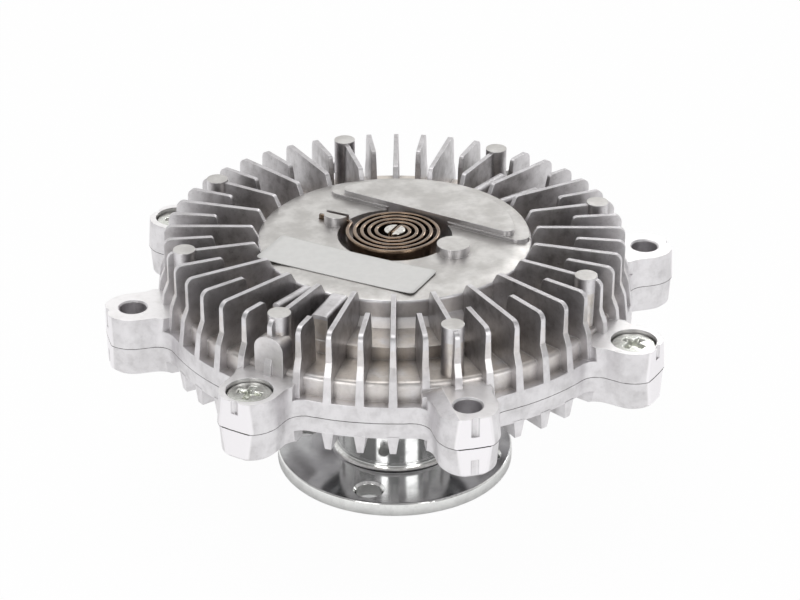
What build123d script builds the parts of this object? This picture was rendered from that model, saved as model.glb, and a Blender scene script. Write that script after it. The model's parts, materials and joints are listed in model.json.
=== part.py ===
from build123d import *
import math
import os

# Viscous fan clutch of a car engine, at its real size in millimetres.
# Z is the axis of rotation. The drive flange stands on z = 0 and the finned housing turns above it.
# Angles are measured about Z from +X. The plain ears lie at 0, 90, 180 and 270 degrees.
# The ears with cover screws lie between them, at 45, 135, 225 and 315 degrees.

# Drive shaft, a forged flange with a ground spindle
flange_radius = 39.0
flange_thickness = 4.8
flange_edge_round = 0.6
flange_hole_count = 4
flange_hole_circle = 31.3
flange_hole_radius = 4.25
flange_hole_chamfer = 0.8
flange_hole_first_angle = 60.0
flange_relief_radius = 24.0
flange_relief_depth = 0.6
pilot_bore_radius = 10.0
pilot_bore_depth = 12.0
pilot_bore_chamfer = 1.0
neck_radius = 18.5
neck_fillet = 2.3
neck_step = 0.5
neck_step_z = 7.3
neck_top_z = 24.8
bearing_shoulder_radius = 15.4
bearing_shoulder_length = 3.0
rotor_seat_radius = 10.5
spindle_thread_radius = 8.0
spindle_thread_relief = 0.5
spindle_end_stand = 0.4
spindle_end_chamfer = 1.0

# Ball bearing between the spindle and the housing
bearing_bore_radius = 12.5
bearing_outer_radius = 26.0
bearing_width = 15.0
bearing_bottom_z = 31.0
bearing_edge_chamfer = 0.7
ball_radius = 3.95
ball_count = 9
ball_circle = 19.25
ball_running_gap = 0.06
inner_ring_radius = 16.4
outer_ring_bore_radius = 22.1
cage_inner_radius = 17.7
cage_outer_radius = 20.8
cage_rim = 0.85
cage_pocket_gap = 0.15
seal_thickness = 0.8
seal_inset = 0.4
seal_lip_gap = 0.1
snap_ring_thickness = 1.2
snap_ring_inner_radius = 24.3
snap_ring_groove_depth = 1.2
snap_ring_gap = 0.1
snap_ring_gap_angle = 24.0

# Heights above and below the parting plane of the two castings
parting_z = 56.9
ear_rise = 9.95
ear_drop = 9.9
rim_rise = 5.4
rear_rim_drop = 5.4
shelf_rise = 11.8
shoulder_rise = 16.1
plateau_rise = 24.7
fin_rise = 27.6
post_rise = 28.1

# Outline shared by the two castings, which follows the circle of the fan bolts
ear_circle = 85.0
rim_inset = 8.5
rear_rim_step = 0.25
wall_inset = 3.7
chamber_wall = 3.2
ear_half_width = 9.85
ear_draft_step = 0.7
rear_ear_step = 0.4
ear_face_distance = 8.3
ear_blend_radius = 6.0
ear_bottom_chamfer = 1.0
plain_ear_flute_height = 6.2
screw_ear_flute_height = 4.2
rear_ear_flute_height = 5.9
ear_flute_radius = 1.5
ear_flute_depth = 0.7
milled_ear_angle = 270.0
milled_ear_edge = 4.5
milled_ear_fall = 2.4
fan_hole_radius = 4.25
fan_hole_chamfer = 0.5
fin_angle_step = 7.5

# Front cover
cover_wall_round = 1.5
shoulder_radius = 58.7
shoulder_root_width = 2.8
plateau_radius = 43.8
plateau_bevel_width = 3.2
plateau_bevel_drop = 0.86
plateau_bevel_round = 18.0
plateau_edge_round = 0.8
plateau_root_height = 2.2
recess_radius = 18.3
recess_depth = 5.6
fin_top_thickness = 1.5
fin_root_thickness = 2.7
fin_outer_inset = 3.0
fin_foot_inset = 0.4
fin_inner_foot_step = 0.8
fin_plateau_drop = 0.4
fin_outer_round = 2.5
fin_inner_round = 1.2
fin_kink_top_rise = 17.6
fin_kink_bottom_rise = 13.6
fin_kink_step = 1.6
fin_inner_lean = 1.6
short_fin_inner_radius = 57.8
cut_fin_inner_radius = 64.3
post_inset = 8.5
post_radius = 3.5

# Runner bars that take the place of the inner part of four short fins, and their widths
bar_angles = [22.5, 37.5, 217.5, 232.5]
bar_widths = [2.8, 3.0, 2.8, 5.6]
bar_length = 15.2
bar_drop = 0.2
bar_round = 1.2

# Broad rib at the cast gate, outside the post at 225 degrees
gate_angle = 225.0
gate_rib_width = 10.0
gate_rib_inset = 2.1
gate_rib_depth = 6.0
gate_rib_rise = 22.4
gate_rib_round = 4.2

# Raised pad, stop boss and slotted lug on the plateau
pad_chord_distance = 14.65
pad_chord_angle = 45.0
pad_shift = -2.4
pad_inset = 7.8
pad_height = 2.9
pad_corner_round = 2.5
ledge_inset = 3.0
ledge_height = 1.1
ledge_chord_step = 0.4
ledge_corner_round = 3.5
stop_boss_x = 14.8
stop_boss_y = -16.2
stop_boss_radius = 5.2
lug_angle = 139.0
lug_outset = 2.6
lug_radius = 4.1
lug_height = 3.1

# Inside of the front cover
chamber_rise = 8.3
seat_step = 2.2
divider_seat_width = 2.5
reservoir_inset = 22.1
reservoir_rise = 13.6
land_count = 3
land_inset = 17.0
land_width = 1.6
land_gap = 0.6
land_end_gap = 0.8
divider_boss_radius = 3.6
divider_boss_inset = 7.5
divider_boss_count = 4
divider_boss_first_angle = 20.0
spigot_wall = 1.8
spigot_depth = 2.3
spigot_fit = 0.1

# Ring seal between the castings
ring_seal_size = 1.0
ring_seal_gap = 0.05

# Rear housing
rear_floor_drop = 2.5
rear_back_drop = 6.5
hub_radius = 31.5
hub_bottom_z = 27.9
hub_root_blend = 4.0
hub_throat_radius = 22.6
hub_draft = 1.0
rear_fin_tip_drop = 11.3
rear_fin_outer_inset = 0.5
rear_fin_outer_draft = 0.5
rear_fin_outer_round = 0.8
rear_fin_tip_thickness = 1.8
rear_fin_root_thickness = 3.7
rear_long_fin_inner_radius = 37.0
rear_short_fin_inner_radius = 52.0
rear_fin_inner_lean = 3.0

# Rotor disc and what holds it on the spindle
rotor_edge_gap = 0.8
rotor_floor_gap = 1.0
rotor_rim_thickness = 5.0
rotor_web_thickness = 3.0
rotor_rim_margin = 2.1
rotor_rim_slope = 2.0
rotor_hub_radius = 17.0
rotor_nose_radius = 15.6
rotor_nose_length = 3.0
rotor_nose_slope = 1.0
rotor_hub_top_rise = 3.1
rotor_seat_fit = 0.02
lock_washer_thickness = 1.2
lock_washer_radius = 13.5
lock_nut_height = 3.8
lock_nut_across_flats = 24.0
thread_fit = 0.05

# Divider plate between the reservoir and the working chamber
divider_thickness = 1.2
divider_edge_gap = 0.3
divider_hole_radius = 1.6
port_radius = 3.0
port_circle = 30.0
port_angle = 280.0
return_hole_radius = 1.5
return_hole_inset = 2.5
divider_screw_radius = 1.2
divider_screw_length = 5.0
divider_screw_end_gap = 0.6
divider_screw_head_radius = 2.7
divider_screw_head_height = 1.4

# Valve pin with its arm, clip and seal
pin_radius = 3.0
pin_running_gap = 0.03
pin_head_radius = 3.4
pin_head_stand = 0.4
pin_head_round = 0.4
pin_head_gap = 0.3
pin_end_radius = 2.2
pin_rivet_radius = 2.7
pin_rivet_height = 0.2
arm_thickness = 0.9
arm_floor_gap = 0.4
arm_hub_radius = 5.5
arm_tip_radius = 4.3
clip_thickness = 0.5
clip_groove_radius = 2.35
clip_outer_radius = 5.2
clip_mouth_width = 3.0
clip_gap = 0.25
clip_fit = 0.05
pin_seal_section = 0.85
pin_seal_groove_gap = 0.04

# Bimetal coil, a flat strip wound on edge
strip_thickness = 1.2
strip_width = 5.9
strip_slot_gap = 0.15
coil_pitch = 2.3
coil_wall_gap = 3.7
coil_pin_gap = 0.15
coil_stand_proud = 1.6
tail_bend_radius = 1.6
tail_overhang = 2.0
tab_bend_radius = 1.0
tab_length = 1.5

# Cover screws
screw_radius = 3.0
screw_hole_radius = 3.3
screw_head_radius = 6.85
screw_head_height = 3.8
screw_head_round = 1.0
screw_counterbore_radius = 7.15
screw_counterbore_depth = 4.65
screw_length = 13.6
screw_recess_width = 1.7
screw_recess_length = 6.6
screw_recess_depth = 2.0
screw_turns = [20.0, 75.0, 58.0, 30.0]

# Blank label stuck on the plateau
label_length = 55.0
label_width = 17.3
label_thickness = 0.15
label_corner_radius = 1.6
label_x = -20.1
label_y = -16.9
label_angle = -41.3

# Depth by which cutters overshoot a face, and by which joined forms reach into each other
overshoot = 1.0
root_depth = 0.5

# Levels and radii that follow from the sizes above
rim_radius = ear_circle - rim_inset
ear_face_radius = ear_circle + ear_face_distance
cover_wall_radius = rim_radius - wall_inset
chamber_radius = cover_wall_radius - chamber_wall
fin_outer_radius = rim_radius - fin_outer_inset
fin_foot_radius = rim_radius - fin_foot_inset
post_circle = rim_radius - post_inset
gate_rib_radius = rim_radius - gate_rib_inset
rear_fin_outer_radius = rim_radius - rear_fin_outer_inset
plateau_bevel_radius = plateau_radius - plateau_bevel_width
shoulder_root_radius = plateau_radius + shoulder_root_width
reservoir_radius = chamber_radius - reservoir_inset
land_first_radius = chamber_radius - land_inset
divider_boss_circle = reservoir_radius - divider_boss_inset
return_hole_circle = reservoir_radius - return_hole_inset
rotor_rim_inner_radius = land_first_radius - rotor_rim_margin
ear_top_z = parting_z + ear_rise
ear_bottom_z = parting_z - ear_drop
rim_top_z = parting_z + rim_rise
rear_rim_z = parting_z - rear_rim_drop
shelf_z = parting_z + shelf_rise
shoulder_z = parting_z + shoulder_rise
plateau_z = parting_z + plateau_rise
fin_top_z = parting_z + fin_rise
post_top_z = parting_z + post_rise
recess_floor_z = plateau_z - recess_depth
chamber_top_z = parting_z + chamber_rise
seat_z = chamber_top_z + seat_step
reservoir_top_z = parting_z + reservoir_rise
rear_floor_z = parting_z - rear_floor_drop
rear_back_z = parting_z - rear_back_drop
bearing_top_z = bearing_bottom_z + bearing_width
rotor_bottom_z = rear_floor_z + rotor_floor_gap
rotor_hub_top_z = parting_z + rotor_hub_top_rise
rotor_rim_top_z = rotor_bottom_z + rotor_rim_thickness
divider_bottom_z = seat_z - divider_thickness
arm_bottom_z = seat_z + arm_floor_gap
arm_top_z = arm_bottom_z + arm_thickness
clip_bottom_z = reservoir_top_z - clip_gap - clip_thickness
strip_top_z = plateau_z + coil_stand_proud
strip_bottom_z = strip_top_z - strip_width
pin_bore_radius = pin_radius + pin_running_gap
spigot_radius = chamber_radius + spigot_wall
spigot_bore_radius = spigot_radius + spigot_fit
land_pitch = 2 * (land_width + land_gap)
lug_circle = recess_radius + lug_outset
coil_radius = recess_radius - coil_wall_gap
coil_step = coil_pitch / 2
coil_inner_limit = pin_head_radius + coil_pin_gap + strip_thickness / 2
coil_half_turns = int((coil_radius - coil_inner_limit) / coil_step)
tail_reach = lug_circle + lug_radius + tail_overhang
strip_slot_width = strip_thickness + 2 * strip_slot_gap

plain_ear_angles = [0, 90, 180, 270]
screw_ear_angles = [45, 135, 225, 315]
ear_angles = sorted(plain_ear_angles + screw_ear_angles)


def at(angle, radius=0.0, z=0.0):
    """Place at a radius and angle about the axis, turned to face outwards."""
    return Rot(0, 0, angle) * Pos(radius, 0, z)


def outline(corners):
    """Face through corners (x, y), where a third value rounds that corner."""
    points = [Vector(corner[0], corner[1]) for corner in corners]
    rounds = [corner[2] if len(corner) > 2 else 0.0 for corner in corners]
    turns = []
    for i, here in enumerate(points):
        if rounds[i] == 0:
            turns.append((here, here, here))
            continue
        back = (points[i - 1] - here).normalized()
        ahead = (points[(i + 1) % len(points)] - here).normalized()
        half = math.acos(back.dot(ahead)) / 2
        reach = rounds[i] / math.tan(half)
        crown = rounds[i] / math.sin(half) - rounds[i]
        middle = here + (back + ahead).normalized() * crown
        turns.append((here + back * reach, middle, here + ahead * reach))
    edges = []
    for i, (start, middle, end) in enumerate(turns):
        if rounds[i] > 0:
            edges.append(ThreePointArc(start, middle, end))
        edges.append(Line(end, turns[(i + 1) % len(turns)][0]))
    return make_face(edges)


def turned(corners):
    """Solid turned about Z from a half section given as corners (radius, z)."""
    return revolve(Plane.XZ * outline(corners), Axis.Z)


def ring(inner_radius, outer_radius, bottom, top):
    """Plain ring about Z."""
    return turned([
        (inner_radius, bottom),
        (outer_radius, bottom),
        (outer_radius, top),
        (inner_radius, top),
    ])


def disc(radius, bottom, top):
    """Plain cylinder about Z between two levels."""
    return Pos(0, 0, bottom) * extrude(Circle(radius), amount=top - bottom)


def block(x_from, x_to, width, bottom, top):
    """Box that is centred on the X axis."""
    size = (x_to - x_from, width, top - bottom)
    return Pos((x_from + x_to) / 2, 0, (bottom + top) / 2) * Box(*size)


def around(shape, angles):
    """Copies of a shape turned about Z."""
    return [Rot(0, 0, angle) * shape for angle in angles]


def evenly(count, first=0.0):
    """Angles of a pattern that divides the full turn."""
    return [first + 360.0 * i / count for i in range(count)]


def drafted_fin(side, inner, outer, tip_z, tip_thickness, root_z, root_thickness):
    """Radial fin: a side view cut by a wedge that is thinner at its tip."""
    slab = extrude(Plane.XZ * outline(side), amount=root_thickness, both=True)
    section = [
        (-root_thickness / 2, root_z),
        (root_thickness / 2, root_z),
        (tip_thickness / 2, tip_z),
        (-tip_thickness / 2, tip_z),
    ]
    wedge = extrude(Plane.YZ.offset(inner) * outline(section), amount=outer - inner)
    return slab & wedge


def ear_plan(radius, half_width):
    """Rim with its eight ears seen along the axis, blended where they meet."""
    lobe = Pos(ear_circle / 2, 0) * Rectangle(ear_circle, 2 * half_width)
    lobe += Pos(ear_circle, 0) * Circle(half_width)
    plan = Circle(radius) + around(lobe, ear_angles)
    plan = plan & Circle(ear_face_radius)
    inner_corners = [v for v in plan.vertices() if math.hypot(v.X, v.Y) < radius + 0.01]
    return fillet(inner_corners, ear_blend_radius)


def flange_shaft():
    """Bolted flange, neck, bearing journal, rotor seat and threaded end, in one forging."""
    thread_bottom = rotor_hub_top_z - spindle_thread_relief
    thread_top = rotor_hub_top_z + lock_washer_thickness + lock_nut_height + spindle_end_stand
    journal_z = bearing_bottom_z - bearing_shoulder_length
    body = turned([
        (0, 0),
        (flange_radius, 0, flange_edge_round),
        (flange_radius, flange_thickness, flange_edge_round),
        (neck_radius + neck_step, flange_thickness, neck_fillet),
        (neck_radius + neck_step, neck_step_z),
        (neck_radius, neck_step_z),
        (neck_radius, neck_top_z),
        (bearing_shoulder_radius, journal_z),
        (bearing_shoulder_radius, bearing_bottom_z),
        (bearing_bore_radius, bearing_bottom_z),
        (bearing_bore_radius, bearing_top_z),
        (rotor_seat_radius, bearing_top_z),
        (rotor_seat_radius, thread_bottom),
        (spindle_thread_radius, thread_bottom),
        (spindle_thread_radius, thread_top - spindle_end_chamfer),
        (spindle_thread_radius - spindle_end_chamfer, thread_top),
        (0, thread_top),
    ])
    pilot = turned([
        (0, -overshoot),
        (pilot_bore_radius + pilot_bore_chamfer, -overshoot),
        (pilot_bore_radius + pilot_bore_chamfer, flange_relief_depth),
        (pilot_bore_radius, flange_relief_depth + pilot_bore_chamfer),
        (pilot_bore_radius, pilot_bore_depth),
        (0, pilot_bore_depth),
    ])
    hole = disc(flange_hole_radius, -overshoot, flange_thickness + overshoot)
    hole += turned([
        (0, flange_thickness - flange_hole_chamfer - flange_hole_radius),
        (flange_hole_radius + flange_hole_chamfer + overshoot, flange_thickness + overshoot),
        (0, flange_thickness + overshoot),
    ])
    holes = [at(a, flange_hole_circle) * hole for a in evenly(flange_hole_count, flange_hole_first_angle)]
    return body - pilot - disc(flange_relief_radius, -overshoot, flange_relief_depth) - holes


def ball_track():
    """Torus that both raceways are ground to."""
    middle = bearing_bottom_z + bearing_width / 2
    return Pos(0, 0, middle) * Torus(ball_circle, ball_radius + ball_running_gap)


def bearing_inner_ring():
    """Inner race, pressed on the spindle."""
    blank = turned([
        (bearing_bore_radius, bearing_bottom_z, bearing_edge_chamfer),
        (inner_ring_radius, bearing_bottom_z),
        (inner_ring_radius, bearing_top_z),
        (bearing_bore_radius, bearing_top_z, bearing_edge_chamfer),
    ])
    return blank - ball_track()


def bearing_outer_ring():
    """Outer race, pressed into the rear housing."""
    blank = turned([
        (outer_ring_bore_radius, bearing_bottom_z),
        (bearing_outer_radius, bearing_bottom_z, bearing_edge_chamfer),
        (bearing_outer_radius, bearing_top_z, bearing_edge_chamfer),
        (outer_ring_bore_radius, bearing_top_z),
    ])
    return blank - ball_track()


def bearing_balls():
    """Balls, as separate solids in one group."""
    middle = bearing_bottom_z + bearing_width / 2
    return Compound([at(a, ball_circle, middle) * Sphere(ball_radius) for a in evenly(ball_count)])


def bearing_cage():
    """Cage with one round pocket for each ball."""
    middle = bearing_bottom_z + bearing_width / 2
    pocket_radius = ball_radius + cage_pocket_gap
    half = pocket_radius + cage_rim
    pocket = Rot(0, 90, 0) * Cylinder(pocket_radius, 2 * ball_radius)
    pockets = [at(a, ball_circle, middle) * pocket for a in evenly(ball_count)]
    return ring(cage_inner_radius, cage_outer_radius, middle - half, middle + half) - pockets


def bearing_seals():
    """Two lip seals that close the bearing, as separate solids in one group."""
    inner = inner_ring_radius + seal_lip_gap
    outer = outer_ring_bore_radius - seal_lip_gap
    low = bearing_bottom_z + seal_inset
    high = bearing_top_z - seal_inset - seal_thickness
    return Compound([ring(inner, outer, z, z + seal_thickness) for z in (low, high)])


def snap_ring():
    """Open ring that holds the bearing in the rear housing."""
    top = bearing_bottom_z
    outer = bearing_outer_radius + snap_ring_groove_depth - snap_ring_gap
    hoop = ring(snap_ring_inner_radius, outer, top - snap_ring_thickness, top)
    reach = 2 * outer
    half_gap = math.radians(snap_ring_gap_angle / 2)
    wedge = [(0, 0), (reach, -reach * math.tan(half_gap)), (reach, reach * math.tan(half_gap))]
    mouth = extrude(outline(wedge), amount=3 * snap_ring_thickness)
    return hoop - Pos(0, 0, top - 2 * snap_ring_thickness) * mouth


def cover_fin(inner_radius, foot_radius):
    """Side view of a cover fin, from its inner end to the flared foot on the rim."""
    root_z = rim_top_z - root_depth
    kink_outer = fin_outer_radius + fin_kink_step
    side = [
        (foot_radius, root_z),
        (foot_radius, plateau_z - plateau_bevel_drop - fin_plateau_drop),
        (inner_radius, fin_top_z, fin_inner_round),
        (fin_outer_radius, fin_top_z, fin_outer_round),
        (fin_outer_radius, parting_z + fin_kink_top_rise),
        (kink_outer, parting_z + fin_kink_bottom_rise),
        (fin_foot_radius, rim_top_z),
        (fin_foot_radius, root_z),
    ]
    return drafted_fin(
        side, foot_radius - 1, fin_foot_radius + 1,
        fin_top_z, fin_top_thickness, root_z, fin_root_thickness,
    )


def cover_fins():
    """Long and short fins in turn, with a short fin cut back behind each runner bar."""
    long_fin = cover_fin(plateau_radius + fin_inner_lean, plateau_radius - root_depth)
    short_fin = cover_fin(short_fin_inner_radius, short_fin_inner_radius - fin_inner_foot_step)
    cut_fin = cover_fin(cut_fin_inner_radius, cut_fin_inner_radius - fin_inner_foot_step)
    long_angles = evenly(round(180 / fin_angle_step))
    short_angles = [a + fin_angle_step for a in long_angles]
    plain_short = [a for a in short_angles if a not in bar_angles]
    return around(long_fin, long_angles) + around(short_fin, plain_short) + around(cut_fin, bar_angles)


def cover_posts():
    """Round ejector posts on the fins that stand in line with the ears."""
    post = Pos(post_circle, 0, 0) * disc(post_radius, shelf_z - root_depth, post_top_z)
    return around(post, ear_angles)


def round_topped_bar(x_from, x_to, width, bottom, top, rounding):
    """Bar along the X axis whose top edges are rounded."""
    face = outline([
        (-width / 2, bottom),
        (width / 2, bottom),
        (width / 2, top, rounding),
        (-width / 2, top, rounding),
    ])
    return extrude(Plane.YZ.offset(x_from) * face, amount=x_to - x_from)


def runner_bars():
    """Bars from the plateau's wall towards the fins that are cut back."""
    start = plateau_radius - root_depth
    bars = []
    for angle, width in zip(bar_angles, bar_widths):
        shape = round_topped_bar(
            start, start + bar_length, width, shelf_z - root_depth, plateau_z - bar_drop, bar_round,
        )
        bars.append(Rot(0, 0, angle) * shape)
    return bars


def gate_rib():
    """Broad round-shouldered rib outside the post at the gate."""
    rib = round_topped_bar(
        gate_rib_radius - gate_rib_depth, gate_rib_radius, gate_rib_width,
        rim_top_z - root_depth, parting_z + gate_rib_rise, gate_rib_round,
    )
    return [Rot(0, 0, gate_angle) * rib]


def cut_by_chord(radius, chord, rounding, bottom, top):
    """Part of a disc beyond a straight chord, with rounded corners."""
    plan = Pos(0, pad_shift) * Circle(radius)
    plan &= Pos(chord + radius, pad_shift) * Rectangle(2 * radius, 2 * radius)
    plan = fillet(plan.vertices(), rounding)
    return at(pad_chord_angle, 0, bottom) * extrude(plan, amount=top - bottom)


def pad_ledge():
    """Low step that surrounds the raised pad."""
    return cut_by_chord(
        plateau_radius - ledge_inset, pad_chord_distance - ledge_chord_step, ledge_corner_round,
        plateau_z - plateau_bevel_drop - overshoot, plateau_z + ledge_height,
    )


def chord_pad():
    """Raised pad on one side of the plateau, whose chord runs down to the floor of the recess."""
    return cut_by_chord(
        plateau_radius - pad_inset, pad_chord_distance, pad_corner_round,
        recess_floor_z - root_depth, plateau_z + pad_height,
    )


def strip_side(offset):
    """One side of the strip seen along the axis, from the tip of its tail to the end of its tab.

    X runs out along the slot. The turns are half circles about two centres, each one step smaller.
    """
    bend = tail_bend_radius
    bend_x = coil_step / 2 + math.sqrt((coil_radius + bend) ** 2 - bend**2)
    first = math.degrees(math.asin(bend / (coil_radius + bend)))
    side = [
        Line((tail_reach, -offset), (bend_x, -offset)),
        CenterArc((bend_x, bend), bend + offset, 180 + first, 90 - first),
        CenterArc((coil_step / 2, 0), coil_radius - offset, first, 180 - first),
    ]
    for i in range(1, coil_half_turns):
        half_turn = CenterArc((coil_step / 2, 0), coil_radius - i * coil_step - offset, 0, 180)
        if i % 2 == 1:
            half_turn = CenterArc((-coil_step / 2, 0), coil_radius - i * coil_step - offset, 180, 180)
        side.append(half_turn)
    inner = coil_radius - coil_half_turns * coil_step
    bend = tab_bend_radius
    bend_y = -math.sqrt((inner - bend) ** 2 - (bend - coil_step / 2) ** 2)
    last = math.degrees(math.atan2(-bend_y, bend - coil_step / 2))
    end = [
        CenterArc((-coil_step / 2, 0), inner - offset, 180, last),
        CenterArc((-bend, bend_y), bend - offset, 180 + last, 180 - last),
        Line((-offset, bend_y), (-offset, tab_length)),
    ]
    turned_over = 180 * ((coil_half_turns + 1) % 2)
    return side + [Rot(0, 0, turned_over) * edge for edge in end]


def bimetal_coil():
    """Bimetal strip, wound on edge between the slot of the valve pin and the slotted lug."""
    half = strip_thickness / 2
    left = strip_side(half)
    right = strip_side(-half)
    ends = [Line(left[0] @ 0, right[0] @ 0), Line(left[-1] @ 1, right[-1] @ 1)]
    strip = extrude(make_face(left + right + ends), amount=strip_width)
    return at(lug_angle, 0, strip_bottom_z) * strip


def slotted_lug():
    """Round lug at the edge of the coil recess, which the strip's tail runs through."""
    lug = disc(lug_radius, recess_floor_z - root_depth, plateau_z + lug_height)
    return at(lug_angle, lug_circle) * lug


def tail_slot():
    """Slot for the strip's tail, through the lug and on into the plateau."""
    end = tail_reach + strip_slot_gap
    floor = strip_bottom_z - strip_slot_gap
    return at(lug_angle) * block(coil_radius, end, strip_slot_width, floor, post_top_z + overshoot)


def front_cover():
    """Finned front casting with its ears, machined plateau, reservoir and lands."""
    plateau_root_z = shoulder_z + plateau_root_height
    body = turned([
        (0, parting_z),
        (cover_wall_radius, parting_z),
        (cover_wall_radius, shelf_z, cover_wall_round),
        (shoulder_radius, shelf_z),
        (shoulder_radius, shoulder_z),
        (shoulder_root_radius, shoulder_z),
        (plateau_radius, plateau_root_z),
        (plateau_radius, plateau_z - plateau_bevel_drop, plateau_edge_round),
        (plateau_bevel_radius, plateau_z, plateau_bevel_round),
        (0, plateau_z),
    ])
    spigot_end_z = parting_z - spigot_depth
    spigot = ring(chamber_radius - overshoot, spigot_radius, spigot_end_z, parting_z + root_depth)
    rim = drafted_ears(rim_radius, ear_half_width, parting_z, ear_top_z)
    ears = rim & Pos(0, 0, parting_z) * extrude(ear_sectors(), amount=ear_rise)
    rim &= disc(ear_face_radius + overshoot, parting_z, rim_top_z)
    stop_boss = disc(stop_boss_radius, recess_floor_z - root_depth, plateau_z + pad_height)
    stop_boss = Pos(stop_boss_x, stop_boss_y, 0) * stop_boss
    casting = body + pad_ledge() - disc(recess_radius, recess_floor_z, post_top_z + overshoot)
    casting += [spigot, rim, ears, chord_pad(), stop_boss, slotted_lug()]
    casting += cover_fins() + cover_posts() + runner_bars() + gate_rib()
    casting -= [tail_slot(), cover_cavity()]
    casting += cover_lands() + divider_bosses()
    above = ear_top_z + overshoot
    casting -= ear_flutes(plain_ear_angles, ear_top_z - plain_ear_flute_height, above)
    casting -= ear_flutes(screw_ear_angles, ear_top_z - screw_ear_flute_height, above)
    return casting - cover_holes() - milled_ear_slope() - ring_seal_groove()


def drafted_ears(radius, half_width, parting, end):
    """Rim and ears, at full width on the parting plane and a little smaller at the other end."""
    wide = Pos(0, 0, parting) * ear_plan(radius, half_width)
    narrow = Pos(0, 0, end) * ear_plan(radius - ear_draft_step, half_width - ear_draft_step)
    return loft([wide, narrow], ruled=True)


def milled_ear_slope():
    """Wedge beside the milled seat of one ear, where the raw casting falls away."""
    far = -milled_ear_edge - ear_half_width
    wedge = outline([
        (-milled_ear_edge, ear_top_z),
        (-milled_ear_edge, ear_top_z + overshoot),
        (far, ear_top_z + overshoot),
        (far, ear_top_z - milled_ear_fall),
    ])
    length = ear_face_radius - cover_wall_radius + overshoot
    prism = extrude(Plane.YZ.offset(cover_wall_radius) * wedge, amount=length)
    return [Rot(0, 0, milled_ear_angle) * prism]


def ear_flutes(angles, bottom, top):
    """Shallow half-round flutes in the outer faces of some ears."""
    axis_radius = ear_face_radius + ear_flute_radius - ear_flute_depth
    return around(Pos(axis_radius, 0, 0) * disc(ear_flute_radius, bottom, top), angles)


def ear_sectors():
    """Plan sectors that hold the ears, out to the fins on either side of each ear."""
    reach = 2 * ear_circle
    slope = math.tan(math.radians(fin_angle_step))
    sector = outline([(0, 0), (reach, -reach * slope), (reach, reach * slope)])
    return Sketch() + around(sector, ear_angles)


def cover_cavity():
    """Working chamber, divider seat and reservoir inside the cover."""
    return turned([
        (0, parting_z - spigot_depth - overshoot),
        (chamber_radius, parting_z - spigot_depth - overshoot),
        (chamber_radius, chamber_top_z),
        (reservoir_radius + divider_seat_width, chamber_top_z),
        (reservoir_radius + divider_seat_width, seat_z),
        (reservoir_radius, seat_z),
        (reservoir_radius, reservoir_top_z),
        (0, reservoir_top_z),
    ])


def land_radii():
    """Inner radii of the cover's lands; the rotor's rings run between them."""
    return [land_first_radius + i * land_pitch for i in range(land_count)]


def cover_lands():
    """Rings on the roof of the working chamber that shear the fluid."""
    bottom = rotor_rim_top_z + land_end_gap
    return [ring(r, r + land_width, bottom, chamber_top_z + root_depth) for r in land_radii()]


def on_divider_circle(shape):
    """Copies of a shape at the places of the divider's screws."""
    angles = evenly(divider_boss_count, divider_boss_first_angle)
    return around(Pos(divider_boss_circle, 0, 0) * shape, angles)


def divider_bosses():
    """Bosses under the reservoir roof that the divider plate is screwed to."""
    return on_divider_circle(disc(divider_boss_radius, seat_z, reservoir_top_z + root_depth))


def cover_holes():
    """Pin bore, fan bolt holes, counterbored screw holes and divider screw holes."""
    pin_bore = disc(pin_bore_radius, reservoir_top_z - overshoot, recess_floor_z + overshoot)
    fan_hole = disc(fan_hole_radius, parting_z - overshoot, ear_top_z + overshoot)
    fan_hole += turned([
        (0, ear_top_z - fan_hole_chamfer - fan_hole_radius),
        (fan_hole_radius + fan_hole_chamfer + overshoot, ear_top_z + overshoot),
        (0, ear_top_z + overshoot),
    ])
    screw_hole = disc(screw_hole_radius, parting_z - overshoot, ear_top_z)
    screw_hole += disc(screw_counterbore_radius, ear_top_z - screw_counterbore_depth, ear_top_z + overshoot)
    thread_end = divider_bottom_z + divider_screw_length + divider_screw_end_gap
    thread_hole = disc(divider_screw_radius + thread_fit, seat_z - overshoot, thread_end)
    return (
        [pin_bore]
        + around(Pos(ear_circle, 0, 0) * fan_hole, plain_ear_angles)
        + around(Pos(ear_circle, 0, 0) * screw_hole, screw_ear_angles)
        + on_divider_circle(thread_hole)
    )


def ring_seal():
    """Square-section ring between the cover's spigot and the rear housing."""
    outer = spigot_bore_radius - ring_seal_gap
    bottom = ring_seal_bottom()
    return ring(outer - ring_seal_size, outer, bottom, bottom + ring_seal_size)


def ring_seal_bottom():
    """Lower face of the ring seal, halfway down the spigot."""
    return parting_z - (spigot_depth + ring_seal_size) / 2


def ring_seal_groove():
    """Groove in the spigot that the ring seal lies in."""
    bottom = ring_seal_bottom() - ring_seal_gap
    inner = spigot_bore_radius - 2 * ring_seal_gap - ring_seal_size
    return ring(inner, spigot_radius + overshoot, bottom, bottom + ring_seal_size + 2 * ring_seal_gap)


def rear_fin(inner_radius):
    """Fin under the rear housing, level at its tip."""
    root_z = rear_rim_z + root_depth
    tip_z = parting_z - rear_fin_tip_drop
    side = [
        (inner_radius, root_z),
        (inner_radius, rear_back_z),
        (inner_radius + rear_fin_inner_lean, tip_z),
        (rear_fin_outer_radius - rear_fin_outer_draft, tip_z, rear_fin_outer_round),
        (rear_fin_outer_radius, root_z),
    ]
    return drafted_fin(
        side, inner_radius - 1, rear_fin_outer_radius + 1,
        tip_z, rear_fin_tip_thickness, root_z, rear_fin_root_thickness,
    )


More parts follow.
